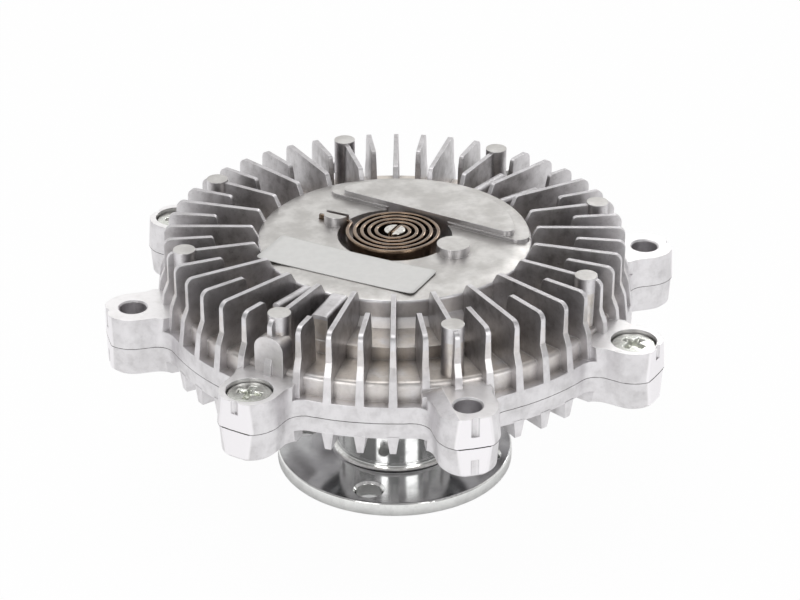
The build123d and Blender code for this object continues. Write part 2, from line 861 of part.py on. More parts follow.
def rear_housing():
    """Finned rear casting with its ears, bearing hub and chamber floor."""
    body = turned([
        (bearing_outer_radius, hub_bottom_z),
        (hub_radius, hub_bottom_z),
        (hub_radius + hub_draft, rear_back_z, hub_root_blend),
        (cover_wall_radius, rear_back_z),
        (cover_wall_radius, parting_z),
        (spigot_bore_radius, parting_z),
        (spigot_bore_radius, rear_floor_z),
        (hub_throat_radius, rear_floor_z),
        (hub_throat_radius, bearing_top_z),
        (bearing_outer_radius, bearing_top_z),
    ])
    rim = drafted_ears(rim_radius - rear_rim_step, ear_half_width - rear_ear_step, parting_z, ear_bottom_z)
    rim -= disc(spigot_bore_radius, ear_bottom_z - overshoot, parting_z + overshoot)
    ears = rim & Pos(0, 0, ear_bottom_z) * extrude(ear_sectors(), amount=parting_z - ear_bottom_z)
    rim &= disc(ear_face_radius + overshoot, rear_rim_z, parting_z)
    low_edges = ears.edges().group_by(Axis.Z)[0]
    outer_edges = [e for e in low_edges if math.hypot(e.center().X, e.center().Y) > rim_radius]
    ears = chamfer(outer_edges, ear_bottom_chamfer)
    long_angles = evenly(round(180 / fin_angle_step))
    short_angles = [a + fin_angle_step for a in long_angles]
    beside_ears = [a + side for a in ear_angles for side in (-fin_angle_step, fin_angle_step)]
    free_angles = [a for a in short_angles if a not in beside_ears and a - 360 not in beside_ears]
    fins = around(rear_fin(rear_long_fin_inner_radius), long_angles)
    fins += around(rear_fin(rear_short_fin_inner_radius), free_angles)
    casting = body + [rim, ears] + fins
    fan_hole = disc(fan_hole_radius, ear_bottom_z - overshoot, parting_z + overshoot)
    screw_hole = disc(screw_radius + thread_fit, ear_bottom_z - overshoot, parting_z + overshoot)
    casting -= around(Pos(ear_circle, 0, 0) * fan_hole, plain_ear_angles)
    casting -= around(Pos(ear_circle, 0, 0) * screw_hole, screw_ear_angles)
    casting -= ear_flutes(plain_ear_angles, ear_bottom_z - overshoot, ear_bottom_z + rear_ear_flute_height)
    groove = ring(
        bearing_outer_radius - overshoot, bearing_outer_radius + snap_ring_groove_depth,
        bearing_bottom_z - snap_ring_thickness - snap_ring_gap, bearing_bottom_z,
    )
    return casting - groove


def rotor_disc():
    """Driven disc with its hub, thin web and ringed rim."""
    radius = chamber_radius - rotor_edge_gap
    web_top = rotor_bottom_z + rotor_web_thickness
    bore = rotor_seat_radius + rotor_seat_fit
    disc_body = turned([
        (bore, bearing_top_z),
        (rotor_nose_radius, bearing_top_z),
        (rotor_nose_radius, bearing_top_z + rotor_nose_length),
        (rotor_hub_radius, bearing_top_z + rotor_nose_length + rotor_nose_slope),
        (rotor_hub_radius, rotor_bottom_z),
        (radius, rotor_bottom_z),
        (radius, rotor_rim_top_z),
        (rotor_rim_inner_radius, rotor_rim_top_z),
        (rotor_rim_inner_radius - rotor_rim_slope, web_top),
        (rotor_hub_radius, web_top),
        (rotor_hub_radius, rotor_hub_top_z),
        (bore, rotor_hub_top_z),
    ])
    top = chamber_top_z - land_end_gap
    starts = [r + land_width + land_gap for r in land_radii()]
    rings = [ring(r, r + land_width, rotor_rim_top_z - root_depth, top) for r in starts]
    return disc_body + rings


def rotor_lock_washer():
    """Plain washer under the rotor's nut."""
    inner = spindle_thread_radius + thread_fit
    return ring(inner, lock_washer_radius, rotor_hub_top_z, rotor_hub_top_z + lock_washer_thickness)


def rotor_lock_nut():
    """Thin hexagon nut that clamps the rotor on the spindle."""
    bottom = rotor_hub_top_z + lock_washer_thickness
    hexagon = RegularPolygon(lock_nut_across_flats / 2, 6, major_radius=False)
    top = bottom + lock_nut_height
    nut = Pos(0, 0, bottom) * extrude(hexagon, amount=lock_nut_height)
    return nut - disc(spindle_thread_radius + thread_fit, bottom - overshoot, top + overshoot)


def divider_plate():
    """Pressed plate between the reservoir and the working chamber, with the valve port."""
    plate = disc(reservoir_radius + divider_seat_width - divider_edge_gap, divider_bottom_z, seat_z)
    low = divider_bottom_z - overshoot
    high = seat_z + overshoot
    port = at(port_angle, port_circle) * disc(port_radius, low, high)
    back = at(port_angle + 180, return_hole_circle) * disc(return_hole_radius, low, high)
    return plate - [port, back] - on_divider_circle(disc(divider_hole_radius, low, high))


def divider_screws():
    """Small screws that hold the divider plate, as separate solids in one group."""
    seat = divider_bottom_z
    screw = disc(divider_screw_radius, seat - root_depth, seat + divider_screw_length)
    screw += disc(divider_screw_head_radius, seat - divider_screw_head_height, seat)
    return Compound(on_divider_circle(screw))


def valve_pin():
    """Pin that the coil turns, slotted at its head and riveted to the arm at its foot."""
    head_bottom = recess_floor_z + pin_head_gap
    rivet_z = arm_bottom_z - pin_rivet_height
    collar_bottom = arm_top_z
    groove_top = clip_bottom_z + clip_thickness + clip_fit
    groove_bottom = clip_bottom_z - clip_fit
    seal_bottom = pin_seal_bottom() - pin_seal_groove_gap
    seal_top = pin_seal_bottom() + pin_seal_section + pin_seal_groove_gap
    seal_groove_radius = pin_bore_radius - pin_seal_section - 2 * pin_seal_groove_gap
    pin = turned([
        (0, rivet_z),
        (pin_rivet_radius, rivet_z),
        (pin_rivet_radius, arm_bottom_z),
        (pin_end_radius, arm_bottom_z),
        (pin_end_radius, collar_bottom),
        (pin_radius, collar_bottom),
        (pin_radius, groove_bottom),
        (clip_groove_radius, groove_bottom),
        (clip_groove_radius, groove_top),
        (pin_radius, groove_top),
        (pin_radius, seal_bottom),
        (seal_groove_radius, seal_bottom),
        (seal_groove_radius, seal_top),
        (pin_radius, seal_top),
        (pin_radius, head_bottom),
        (pin_head_radius, head_bottom),
        (pin_head_radius, strip_top_z + pin_head_stand, pin_head_round),
        (0, strip_top_z + pin_head_stand),
    ])
    reach = 2 * pin_head_radius
    slot_top = strip_top_z + pin_head_stand + overshoot
    slot = block(-reach, reach, strip_slot_width, strip_bottom_z - strip_slot_gap, slot_top)
    return pin - at(lug_angle + 90) * slot


def pin_seal_bottom():
    """Lower face of the pin's ring seal, in the middle of the bore."""
    return (reservoir_top_z + recess_floor_z - pin_seal_section) / 2


def pin_seal():
    """Ring seal in the valve pin's groove."""
    outer = pin_bore_radius - pin_seal_groove_gap
    bottom = pin_seal_bottom()
    return ring(outer - pin_seal_section, outer, bottom, bottom + pin_seal_section)


def pin_clip():
    """Open clip that keeps the valve pin in the cover."""
    inner = clip_groove_radius + clip_fit
    clip = ring(inner, clip_outer_radius, clip_bottom_z, clip_bottom_z + clip_thickness)
    top = clip_bottom_z + clip_thickness
    mouth = block(0, 2 * clip_outer_radius, clip_mouth_width, clip_bottom_z - overshoot, top + overshoot)
    return clip - mouth


def valve_arm():
    """Thin arm on the pin that slides over the divider's port."""
    plan = Circle(arm_hub_radius) + Pos(port_circle, 0) * Circle(arm_tip_radius)
    plan += outline([
        (0, -arm_hub_radius),
        (port_circle, -arm_tip_radius),
        (port_circle, arm_tip_radius),
        (0, arm_hub_radius),
    ])
    plan -= Circle(pin_end_radius)
    return at(port_angle) * Pos(0, 0, arm_bottom_z) * extrude(plan, amount=arm_thickness)


def cover_screws():
    """Pan-head cover screws with a cross recess, as separate solids in one group."""
    seat = ear_top_z - screw_counterbore_depth
    top = seat + screw_head_height
    screw = turned([
        (0, seat - screw_length),
        (screw_radius, seat - screw_length),
        (screw_radius, seat),
        (screw_head_radius, seat),
        (screw_head_radius, top, screw_head_round),
        (0, top),
    ])
    half = screw_recess_length / 2
    slot = block(-half, half, screw_recess_width, top - screw_recess_depth, top + overshoot)
    screw = screw - [slot, Rot(0, 0, 90) * slot]
    places = zip(screw_ear_angles, screw_turns)
    return Compound([at(angle, ear_circle) * Rot(0, 0, turn - angle) * screw for angle, turn in places])


def blank_label():
    """Plain paper label on the plateau, overhanging its edge a little."""
    plan = RectangleRounded(label_length, label_width, label_corner_radius)
    place = Pos(label_x, label_y, plateau_z) * Rot(0, 0, label_angle)
    return place * extrude(plan, amount=label_thickness)


pieces = {
    "flange_shaft": flange_shaft,
    "bearing_inner_ring": bearing_inner_ring,
    "bearing_outer_ring": bearing_outer_ring,
    "bearing_balls": bearing_balls,
    "bearing_cage": bearing_cage,
    "bearing_seals": bearing_seals,
    "bearing_snap_ring": snap_ring,
    "rear_housing": rear_housing,
    "front_cover": front_cover,
    "housing_ring_seal": ring_seal,
    "cover_screws": cover_screws,
    "rotor_disc": rotor_disc,
    "rotor_lock_washer": rotor_lock_washer,
    "rotor_lock_nut": rotor_lock_nut,
    "divider_plate": divider_plate,
    "divider_screws": divider_screws,
    "valve_pin": valve_pin,
    "valve_arm": valve_arm,
    "pin_seal_ring": pin_seal,
    "pin_clip": pin_clip,
    "bimetal_coil": bimetal_coil,
    "blank_label": blank_label,
}

os.makedirs("parts", exist_ok=True)
for name, build in pieces.items():
    export_step(build(), f"parts/{name}.step")
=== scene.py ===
"""Looks of a viscous fan clutch: its finishes, wound strip, cover screws and label, and the studio."""

from __future__ import annotations

import json
import logging
import math
from dataclasses import dataclass
from enum import Enum
from typing import NamedTuple, Union

import bpy
import numpy as np
from mathutils import Matrix, Vector


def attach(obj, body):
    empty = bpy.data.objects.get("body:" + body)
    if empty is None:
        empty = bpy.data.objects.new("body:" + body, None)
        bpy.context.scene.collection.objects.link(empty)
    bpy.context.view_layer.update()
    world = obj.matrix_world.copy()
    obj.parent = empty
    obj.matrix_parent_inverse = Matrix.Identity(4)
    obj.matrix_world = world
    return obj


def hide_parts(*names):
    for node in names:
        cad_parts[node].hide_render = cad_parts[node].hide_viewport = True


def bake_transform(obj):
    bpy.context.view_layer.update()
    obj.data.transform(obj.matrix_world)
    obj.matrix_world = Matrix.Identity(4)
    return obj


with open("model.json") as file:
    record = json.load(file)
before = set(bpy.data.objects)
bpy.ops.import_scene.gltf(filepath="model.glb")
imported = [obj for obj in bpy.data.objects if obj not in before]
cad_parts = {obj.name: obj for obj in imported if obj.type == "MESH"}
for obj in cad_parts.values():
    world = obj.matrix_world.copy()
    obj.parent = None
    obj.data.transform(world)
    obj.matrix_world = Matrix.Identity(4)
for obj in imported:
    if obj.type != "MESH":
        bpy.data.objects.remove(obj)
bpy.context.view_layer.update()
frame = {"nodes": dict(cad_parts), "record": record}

MM = 0.001
Colour = tuple[float, float, float]
Point = tuple[float, float, float]
Span = tuple[float, float]
Value = Union["Wire", float]

log = logging.getLogger("fan_clutch")


class Grain(Enum):
    """Ways in which a metal surface was worked."""

    GROUND = "fine lines around the axis"
    PRESSED = "smooth rolled sheet"
    POLISHED = "mirror bright"


@dataclass(frozen=True)
class Wire:
    """Socket of a shader node that takes part in Python arithmetic."""

    graph: "Graph"
    socket: bpy.types.NodeSocket

    def __add__(self, other: Value) -> "Wire":
        """Sum of two values."""
        return self.graph.maths("ADD", self, other)

    __radd__ = __add__

    def __sub__(self, other: Value) -> "Wire":
        """Difference of two values."""
        return self.graph.maths("SUBTRACT", self, other)

    def __rsub__(self, other: Value) -> "Wire":
        """Difference with the value on the right."""
        return self.graph.maths("SUBTRACT", other, self)

    def __mul__(self, other: Value) -> "Wire":
        """Product of two values."""
        return self.graph.maths("MULTIPLY", self, other)

    __rmul__ = __mul__

    def __truediv__(self, other: Value) -> "Wire":
        """Quotient of two values."""
        return self.graph.maths("DIVIDE", self, other)

    def __rtruediv__(self, other: Value) -> "Wire":
        """Quotient with the value below the line."""
        return self.graph.maths("DIVIDE", other, self)

    def __abs__(self) -> "Wire":
        """Value without its sign."""
        return self.graph.maths("ABSOLUTE", self, 0.0)

    def above(self, edge: Value) -> "Wire":
        """1 where the value is greater than the edge, else 0."""
        return self.graph.maths("GREATER_THAN", self, edge)

    def below(self, edge: Value) -> "Wire":
        """1 where the value is less than the edge, else 0."""
        return self.graph.maths("LESS_THAN", self, edge)

    def ramp(self, low: float, high: float) -> "Wire":
        """Smooth rise from 0 at low to 1 at high.

        Args:
            low: value where the rise starts.
            high: value where it ends.

        Returns:
            The share, 0 to 1.
        """
        node = self.graph.node(
            "ShaderNodeMapRange",
            {"interpolation_type": "SMOOTHSTEP"},
            {"Value": self, "From Min": low, "From Max": high},
        )
        return self.graph.out(node, "Result")


class Graph:
    """Node tree of one material or of the world."""

    BEVEL_SAMPLES = 4
    CREVICE_SAMPLES = 3
    EDGE_LEAN: Span = (0.90, 0.995)
    CREVICE_OPEN: Span = (0.25, 0.85)

    def __init__(self, owner: bpy.types.Material | bpy.types.World) -> None:
        """Start with an empty tree.

        Args:
            owner: material or world that the tree belongs to.
        """
        self.owner = owner
        self.owner.use_nodes = True
        self.tree = self.owner.node_tree
        self.tree.nodes.clear()

    @classmethod
    def of(cls, name: str) -> "Graph":
        """Tree of a new material with that name."""
        return cls(bpy.data.materials.new(name))

    def node(self, kind: str, settings: dict | None = None, inputs: dict | None = None) -> bpy.types.Node:
        """Add a node.

        Args:
            kind: type of the node.
            settings: its properties, set first.
            inputs: values or wires of its sockets, by name or number.

        Returns:
            The new node.
        """
        node = self.tree.nodes.new(kind)
        for key, value in (settings or {}).items():
            setattr(node, key, value)
        for key, value in (inputs or {}).items():
            socket = node.inputs[key]
            if isinstance(value, Wire):
                self.tree.links.new(value.socket, socket)
            elif isinstance(value, tuple) and socket.type == "RGBA":
                socket.default_value = (*value, 1.0)
            else:
                socket.default_value = value
        return node

    def out(self, node: bpy.types.Node, key: str | int = 0) -> Wire:
        """One output of a node as a wire."""
        return Wire(self, node.outputs[key])

    def maths(self, operation: str, a: Value, b: Value) -> Wire:
        """Math node on two values."""
        return self.out(self.node("ShaderNodeMath", {"operation": operation}, {0: a, 1: b}))

    def larger(self, a: Value, b: Value) -> Wire:
        """The greater of two values."""
        return self.maths("MAXIMUM", a, b)

    def blend(self, share: Value, low: Wire | Colour, high: Wire | Colour) -> Wire:
        """Colour that goes from low to high as the share rises from 0 to 1."""
        settings = {"data_type": "RGBA", "clamp_factor": True}
        return self.out(self.node("ShaderNodeMix", settings, {0: share, 6: low, 7: high}), 2)

    def lerp(self, share: Value, low: Value, high: Value) -> Wire:
        """Number that goes from low to high as the share rises from 0 to 1."""
        settings = {"data_type": "FLOAT", "clamp_factor": True}
        return self.out(self.node("ShaderNodeMix", settings, {0: share, 2: low, 3: high}))

    def place(self) -> Wire:
        """Position on the piece, in metres."""
        return self.out(self.node("ShaderNodeTexCoord"), "Object")

    def facing(self) -> Wire:
        """Direction that the surface faces, in the piece's own axes."""
        return self.out(self.node("ShaderNodeTexCoord"), "Normal")

    def split(self, vector: Wire) -> tuple[Wire, Wire, Wire]:
        """The three numbers of a vector."""
        node = self.node("ShaderNodeSeparateXYZ", None, {0: vector})
        return self.out(node, 0), self.out(node, 1), self.out(node, 2)

    def join(self, x: Value, y: Value, z: Value) -> Wire:
        """Vector of three numbers."""
        return self.out(self.node("ShaderNodeCombineXYZ", None, {0: x, 1: y, 2: z}))

    def radius(self, x: Wire, y: Wire) -> Wire:
        """Distance from the axis: the root of x squared plus y squared."""
        return self.maths("SQRT", x * x + y * y, 0.0)

    def stretch(self, vector: Wire, scale: Point, turn: float) -> Wire:
        """Vector turned about Z and multiplied axis by axis, for drawn-out patterns."""
        inputs = {"Vector": vector, "Rotation": (0.0, 0.0, turn), "Scale": scale}
        return self.out(self.node("ShaderNodeMapping", None, inputs))

    def noise(self, vector: Wire, size: float, detail: float, rough: float) -> Wire:
        """Cloudy value about 0.5, with clouds of that size in metres and finer layers of that strength."""
        inputs = {"Vector": vector, "Scale": 1.0 / size, "Detail": detail, "Roughness": rough}
        return self.out(self.node("ShaderNodeTexNoise", None, inputs), 0)

    def rounded(self, size: float) -> Wire:
        """Normal of the surface with its edges rounded to that radius."""
        return self.out(self.node("ShaderNodeBevel", {"samples": self.BEVEL_SAMPLES}, {"Radius": size}))

    def edges(self, size: float) -> Wire:
        """1 on sharp edges and 0 on plain faces, by how far a rounded normal leans from the true one.

        Args:
            size: width of an edge, in metres.

        Returns:
            The share of an edge.
        """
        true = self.out(self.node("ShaderNodeNewGeometry"), "Normal")
        normals = {0: self.rounded(size), 1: true}
        lean = self.node("ShaderNodeVectorMath", {"operation": "DOT_PRODUCT"}, normals)
        return 1.0 - self.out(lean, "Value").ramp(*self.EDGE_LEAN)

    def crevice(self, reach: float) -> Wire:
        """1 deep in corners and grooves, 0 in the open, by how much lies within reach."""
        node = self.node("ShaderNodeAmbientOcclusion", {"samples": self.CREVICE_SAMPLES}, {"Distance": reach})
        return 1.0 - self.out(node, "AO").ramp(*self.CREVICE_OPEN)

    def relief(self, height: Wire, depth: float, strength: float, edge: float = 0.0) -> Wire:
        """Normal of a relief, with its edges rounded off.

        Args:
            height: 0 to 1.
            depth: depth of the relief, in metres.
            strength: how much of it shows.
            edge: radius of the rounded edges, in metres.

        Returns:
            The normal.
        """
        inputs = {"Height": height, "Distance": depth, "Strength": strength}
        if edge > 0:
            inputs["Normal"] = self.rounded(edge)
        return self.out(self.node("ShaderNodeBump", None, inputs))

    def finish(self, **inputs: Value | Colour) -> bpy.types.Material:
        """End the material in one Principled shader.

        Args:
            inputs: its sockets, with low lines for the blanks in their names.

        Returns:
            The material.
        """
        named = {key.replace("_", " "): value for key, value in inputs.items()}
        shader = self.node("ShaderNodeBsdfPrincipled", None, named)
        self.node("ShaderNodeOutputMaterial", None, {"Surface": self.out(shader)})
        return self.owner


@dataclass(frozen=True)
class Pattern:
    """Cloudy pattern about 0.5, drawn out and turned where it follows a tool or a flow."""

    size: float
    detail: float
    rough: float
    scale: Point | None = None
    turn: float = 0.0

    def on(self, g: Graph, place: Wire) -> Wire:
        """Value of the pattern at each place.

        Args:
            g: tree of the nodes.
            place: position, in metres.

        Returns:
            The value.
        """
        if self.scale is not None:
            place = g.stretch(place, self.scale, self.turn)
        return g.noise(place, self.size, self.detail, self.rough)


class CastMarks(NamedTuple):
    """Patterns of the casting as wires, each about 0.5."""

    clouds: Wire
    patches: Wire
    runs: Wire
    grains: Wire
    specks: Wire
    dents: Wire
    scratches: Wire
    crossing: Wire


class CastFaces(NamedTuple):
    """Kinds of face on the castings, each as a share of 0 to 1."""

    rim: Wire
    lathe: Wire
    facet: Wire
    cut: Wire
    between_fins: Wire
    sheltered: Wire
    tops: Wire
    walls: Wire


@dataclass(frozen=True)
class CastMetal:
    """Die-cast light alloy, with the faces that were turned or milled afterwards."""

    cast: Colour = (0.80, 0.785, 0.80)
    # Dark colour of the casting's dirt, also used as painted shade between the fins and in corners and
    # grooves.
    soot_and_shade: Colour = (0.23, 0.215, 0.21)
    warm: Colour = (0.76, 0.70, 0.635)
    turned: Colour = (0.70, 0.685, 0.665)
    dull: Colour = (0.48, 0.465, 0.445)
    milled: Colour = (0.94, 0.925, 0.925)
    # Bright colour of freshly cut facets, also used on edges as partly wear and partly painted highlight.
    fresh_and_highlight: Colour = (0.94, 0.92, 0.94)
    seam_colour: Colour = (0.05, 0.047, 0.045)

    seam_z: float = 56.9 * MM
    plateau_z: float = 81.6 * MM
    fin_top_z: float = 84.5 * MM
    fin_side_top_z: float = 80.0 * MM
    ear_top_z: float = 66.85 * MM
    plateau_radius: float = 43.8 * MM
    ear_root_radius: float = 72.9 * MM
    facet_radius: float = 93.0 * MM
    fin_feet: Span = (42.0 * MM, 50.0 * MM)
    fin_ends: Span = (70.0 * MM, 76.0 * MM)
    # Painted shade between the fins fades out across these radii.
    shade_fades: Span = (52.0 * MM, 74.0 * MM)

    plateau_bevel: float = 1.3 * MM
    post_rise: float = 0.4 * MM
    ear_top_slack: float = 0.06 * MM
    facet_draft: float = 0.45 * MM
    seam_half: float = 0.19 * MM
    seam_wander: float = 0.25 * MM
    edge_width: float = 0.45 * MM
    edge_round: float = 0.35 * MM
    crevice_reach: float = 2.5 * MM
    relief_depth: float = 0.05 * MM
    relief_strength: float = 0.35
    level: float = 0.9
    outright: float = 0.8

    clouds: Pattern = Pattern(8.0 * MM, 4.0, 0.6)
    patches: Pattern = Pattern(3.2 * MM, 3.0, 0.6)
    runs: Pattern = Pattern(2.2 * MM, 3.0, 0.6, (1.0, 1.0, 0.3))
    grains: Pattern = Pattern(0.45 * MM, 2.0, 0.6)
    specks: Pattern = Pattern(0.9 * MM, 3.0, 0.7)
    dents: Pattern = Pattern(1.3 * MM, 2.0, 0.5)
    scratches: Pattern = Pattern(0.30 * MM, 2.0, 0.6, (0.10, 1.0, 1.0), 0.6)
    crossing: Pattern = Pattern(0.35 * MM, 2.0, 0.6, (1.0, 0.12, 1.0), 0.2)

    axis_slack: float = 1e-6
    upright_below: Span = (0.3, 0.9)
    inward_below: Span = (0.2, 0.8)
    outward_above: Span = (0.2, 0.9)
    floor_above: Span = (0.3, 0.8)
    top_above: Span = (0.6, 0.95)
    dirty_clouds: Span = (0.35, 0.75)
    dirty_patches: Span = (0.4, 0.75)
    dirty_runs: Span = (0.45, 0.8)
    dirty_specks: Span = (0.58, 0.72)
    warm_clouds: Span = (0.2, 0.55)
    worn_highlit_patches: Span = (0.3, 0.6)
    dull_clouds: Span = (0.3, 0.65)
    dull_scratches: Span = (0.5, 0.8)
    milled_patches: Span = (0.4, 0.8)

    cloud_dirt: float = 0.18
    patch_dirt: float = 0.18
    run_dirt: float = 0.06
    speck_dirt: float = 0.06
    fin_speck_dirt: float = 0.16
    # Painted shade on the sheltered sides between the fins, mottled by patches.
    shelter_shade: float = 0.30
    shelter_shade_patches: float = 0.4
    shelter_loss: float = 0.6
    # Fin tops darker.
    fin_top_darkening: float = 0.3
    # Lighter edges, partly wear and partly painted highlight.
    edge_wear_and_highlight: float = 0.5
    # Painted shade in corners and grooves, weaker on the rim.
    crevice_shade: float = 0.75
    rim_shade_loss: float = 0.45
    cloud_dulling: float = 0.8
    scratch_dulling: float = 0.3
    milled_mottle: float = 0.35

    cast_rough: float = 0.34
    cloud_rough: float = 0.14
    grain_rough: float = 0.16
    cut_rough: float = 0.38
    tool_rough: float = 0.14
    lathe_gloss: float = 0.08
    grain_height: float = 0.45
    dent_height: float = 0.55
    tool_height: float = 0.5

    def marks(self, g: Graph, place: Wire) -> CastMarks:
        """Wires of all the patterns.

        Args:
            g: tree of the nodes.
            place: position, in metres.

        Returns:
            The patterns, in the order of their names.
        """
        return CastMarks(*(getattr(self, name).on(g, place) for name in CastMarks._fields))

    def faces(self, g: Graph, x: Wire, y: Wire, z: Wire) -> CastFaces:
        """Kinds of face, told apart by height, radius and direction.

        Args:
            g: tree of the nodes.
            x: position along X.
            y: position along Y.
            z: height.

        Returns:
            The kinds of face.
        """
        r = g.radius(x, y)
        facing_x, facing_y, facing_z = g.split(g.facing())
        outward = (x * facing_x + y * facing_y) / (r + self.axis_slack)
        upward = facing_z.above(self.level)
        rim = r.above(self.ear_root_radius)
        ear_top = abs(z - self.ear_top_z).below(self.ear_top_slack) * upward * rim
        plateau_or_post = g.larger(r.below(self.plateau_radius), z.above(self.fin_top_z + self.post_rise))
        lathe = z.above(self.plateau_z - self.plateau_bevel) * upward * plateau_or_post
        facet = r.ramp(self.facet_radius - self.facet_draft, self.facet_radius) * outward.above(self.outright)
        between_fins = r.ramp(*self.fin_feet) * (1.0 - r.ramp(*self.fin_ends))
        upright = 1.0 - abs(facing_z).ramp(*self.upright_below)
        inward = 1.0 - outward.ramp(*self.inward_below)
        deep = 1.0 - r.ramp(*self.shade_fades) * self.shelter_loss
        shown = g.larger(outward.ramp(*self.outward_above), facing_z.ramp(*self.floor_above))
        return CastFaces(
            rim=rim,
            lathe=lathe,
            facet=facet,
            cut=g.larger(g.larger(ear_top, lathe), facet),
            between_fins=between_fins,
            sheltered=between_fins * upright * inward * deep,
            tops=between_fins * facing_z.ramp(*self.top_above) * z.above(self.fin_side_top_z),
            walls=shown * between_fins * z.below(self.fin_side_top_z),
        )

    def skin(self, g: Graph, on: CastFaces, marks: CastMarks) -> Wire:
        """Colour as cast: warm walls and floors between the fins, painted shade on sheltered sides, darker
        fin tops, and lighter edges that are partly wear and partly painted highlight.

        Args:
            g: tree of the nodes.
            on: kinds of face.
            marks: patterns of the casting.

        Returns:
            The colour.
        """
        specks = marks.specks.ramp(*self.dirty_specks)
        dirt_and_shade = marks.clouds.ramp(*self.dirty_clouds) * self.cloud_dirt
        dirt_and_shade = dirt_and_shade + marks.patches.ramp(*self.dirty_patches) * self.patch_dirt
        dirt_and_shade = dirt_and_shade + marks.runs.ramp(*self.dirty_runs) * self.run_dirt
        dirt_and_shade = dirt_and_shade + specks * (self.speck_dirt + on.between_fins * self.fin_speck_dirt)
        # Painted shade: sheltered sides between the fins darkened, on top of the real dirt.
        dirt_and_shade = dirt_and_shade + on.sheltered * (self.shelter_shade + marks.patches * self.shelter_shade_patches)
        # Fin tops darker.
        dirt_and_shade = dirt_and_shade + on.tops * self.fin_top_darkening
        skin = g.blend(on.walls * marks.clouds.ramp(*self.warm_clouds), self.cast, self.warm)
        skin = g.blend(dirt_and_shade, skin, self.soot_and_shade)
        # Lighter edges in patches, partly wear and partly painted highlight.
        worn_and_highlit = g.edges(self.edge_width) * marks.patches.ramp(*self.worn_highlit_patches) * self.edge_wear_and_highlight
        return g.blend(worn_and_highlit, skin, self.fresh_and_highlight)

    def milled_face(self, g: Graph, on: CastFaces, marks: CastMarks) -> Wire:
        """Colour of the milled ears: bright, and fresh on their facets.

        Args:
            g: tree of the nodes.
            on: kinds of face.
            marks: patterns of the casting.

        Returns:
            The colour.
        """
        mottled = marks.patches.ramp(*self.milled_patches) * self.milled_mottle
        return g.blend(on.facet, g.blend(mottled, self.milled, self.turned), self.fresh_and_highlight)

    def turned_face(self, g: Graph, marks: CastMarks) -> Wire:
        """Colour of the turned plateau: dull in clouds and along scratches.

        Args:
            g: tree of the nodes.
            marks: patterns of the casting.

        Returns:
            The colour.
        """
        dulled = marks.clouds.ramp(*self.dull_clouds) * self.cloud_dulling
        dulled = dulled + marks.scratches.ramp(*self.dull_scratches) * self.scratch_dulling
        return g.blend(dulled, self.turned, self.dull)

    def material(self) -> bpy.types.Material:
        """Mottled casting, with tool marks where it was turned or milled, painted shade in its corners and
        grooves, and a dark seam around its rim.

        Returns:
            The material.
        """
        g = Graph.of("cast_metal")
        place = g.place()
        x, y, z = g.split(place)
        on = self.faces(g, x, y, z)
        marks = self.marks(g, place)
        colour = g.blend(on.cut, self.skin(g, on, marks), self.milled_face(g, on, marks))
        colour = g.blend(on.lathe, colour, self.turned_face(g, marks))
        # Painted shade: ambient occlusion darkens corners and grooves, less on the rim.
        painted_shade = g.crevice(self.crevice_reach) * (self.crevice_shade - on.rim * self.rim_shade_loss)
        colour = g.blend(painted_shade, colour, self.soot_and_shade)
        wander = (marks.runs - 0.5) * self.seam_wander
        seam = abs(z - self.seam_z - wander).below(self.seam_half) * on.rim
        colour = g.blend(seam, colour, self.seam_colour)
        cast_rough = self.cast_rough + marks.clouds * self.cloud_rough
        cast_rough = cast_rough + (marks.grains - 0.5) * self.grain_rough
        cut_rough = self.cut_rough + marks.crossing * self.tool_rough - on.lathe * self.lathe_gloss
        cast_height = marks.grains * self.grain_height + marks.dents * self.dent_height
        cut_height = marks.scratches * self.tool_height + marks.crossing * self.tool_height
        height = g.lerp(on.cut, cast_height, cut_height)
        return g.finish(
            Base_Color=colour,
            Metallic=1.0,
            Roughness=g.lerp(on.cut, cast_rough, cut_rough),
            Normal=g.relief(height, self.relief_depth, self.relief_strength, self.edge_round),
        )


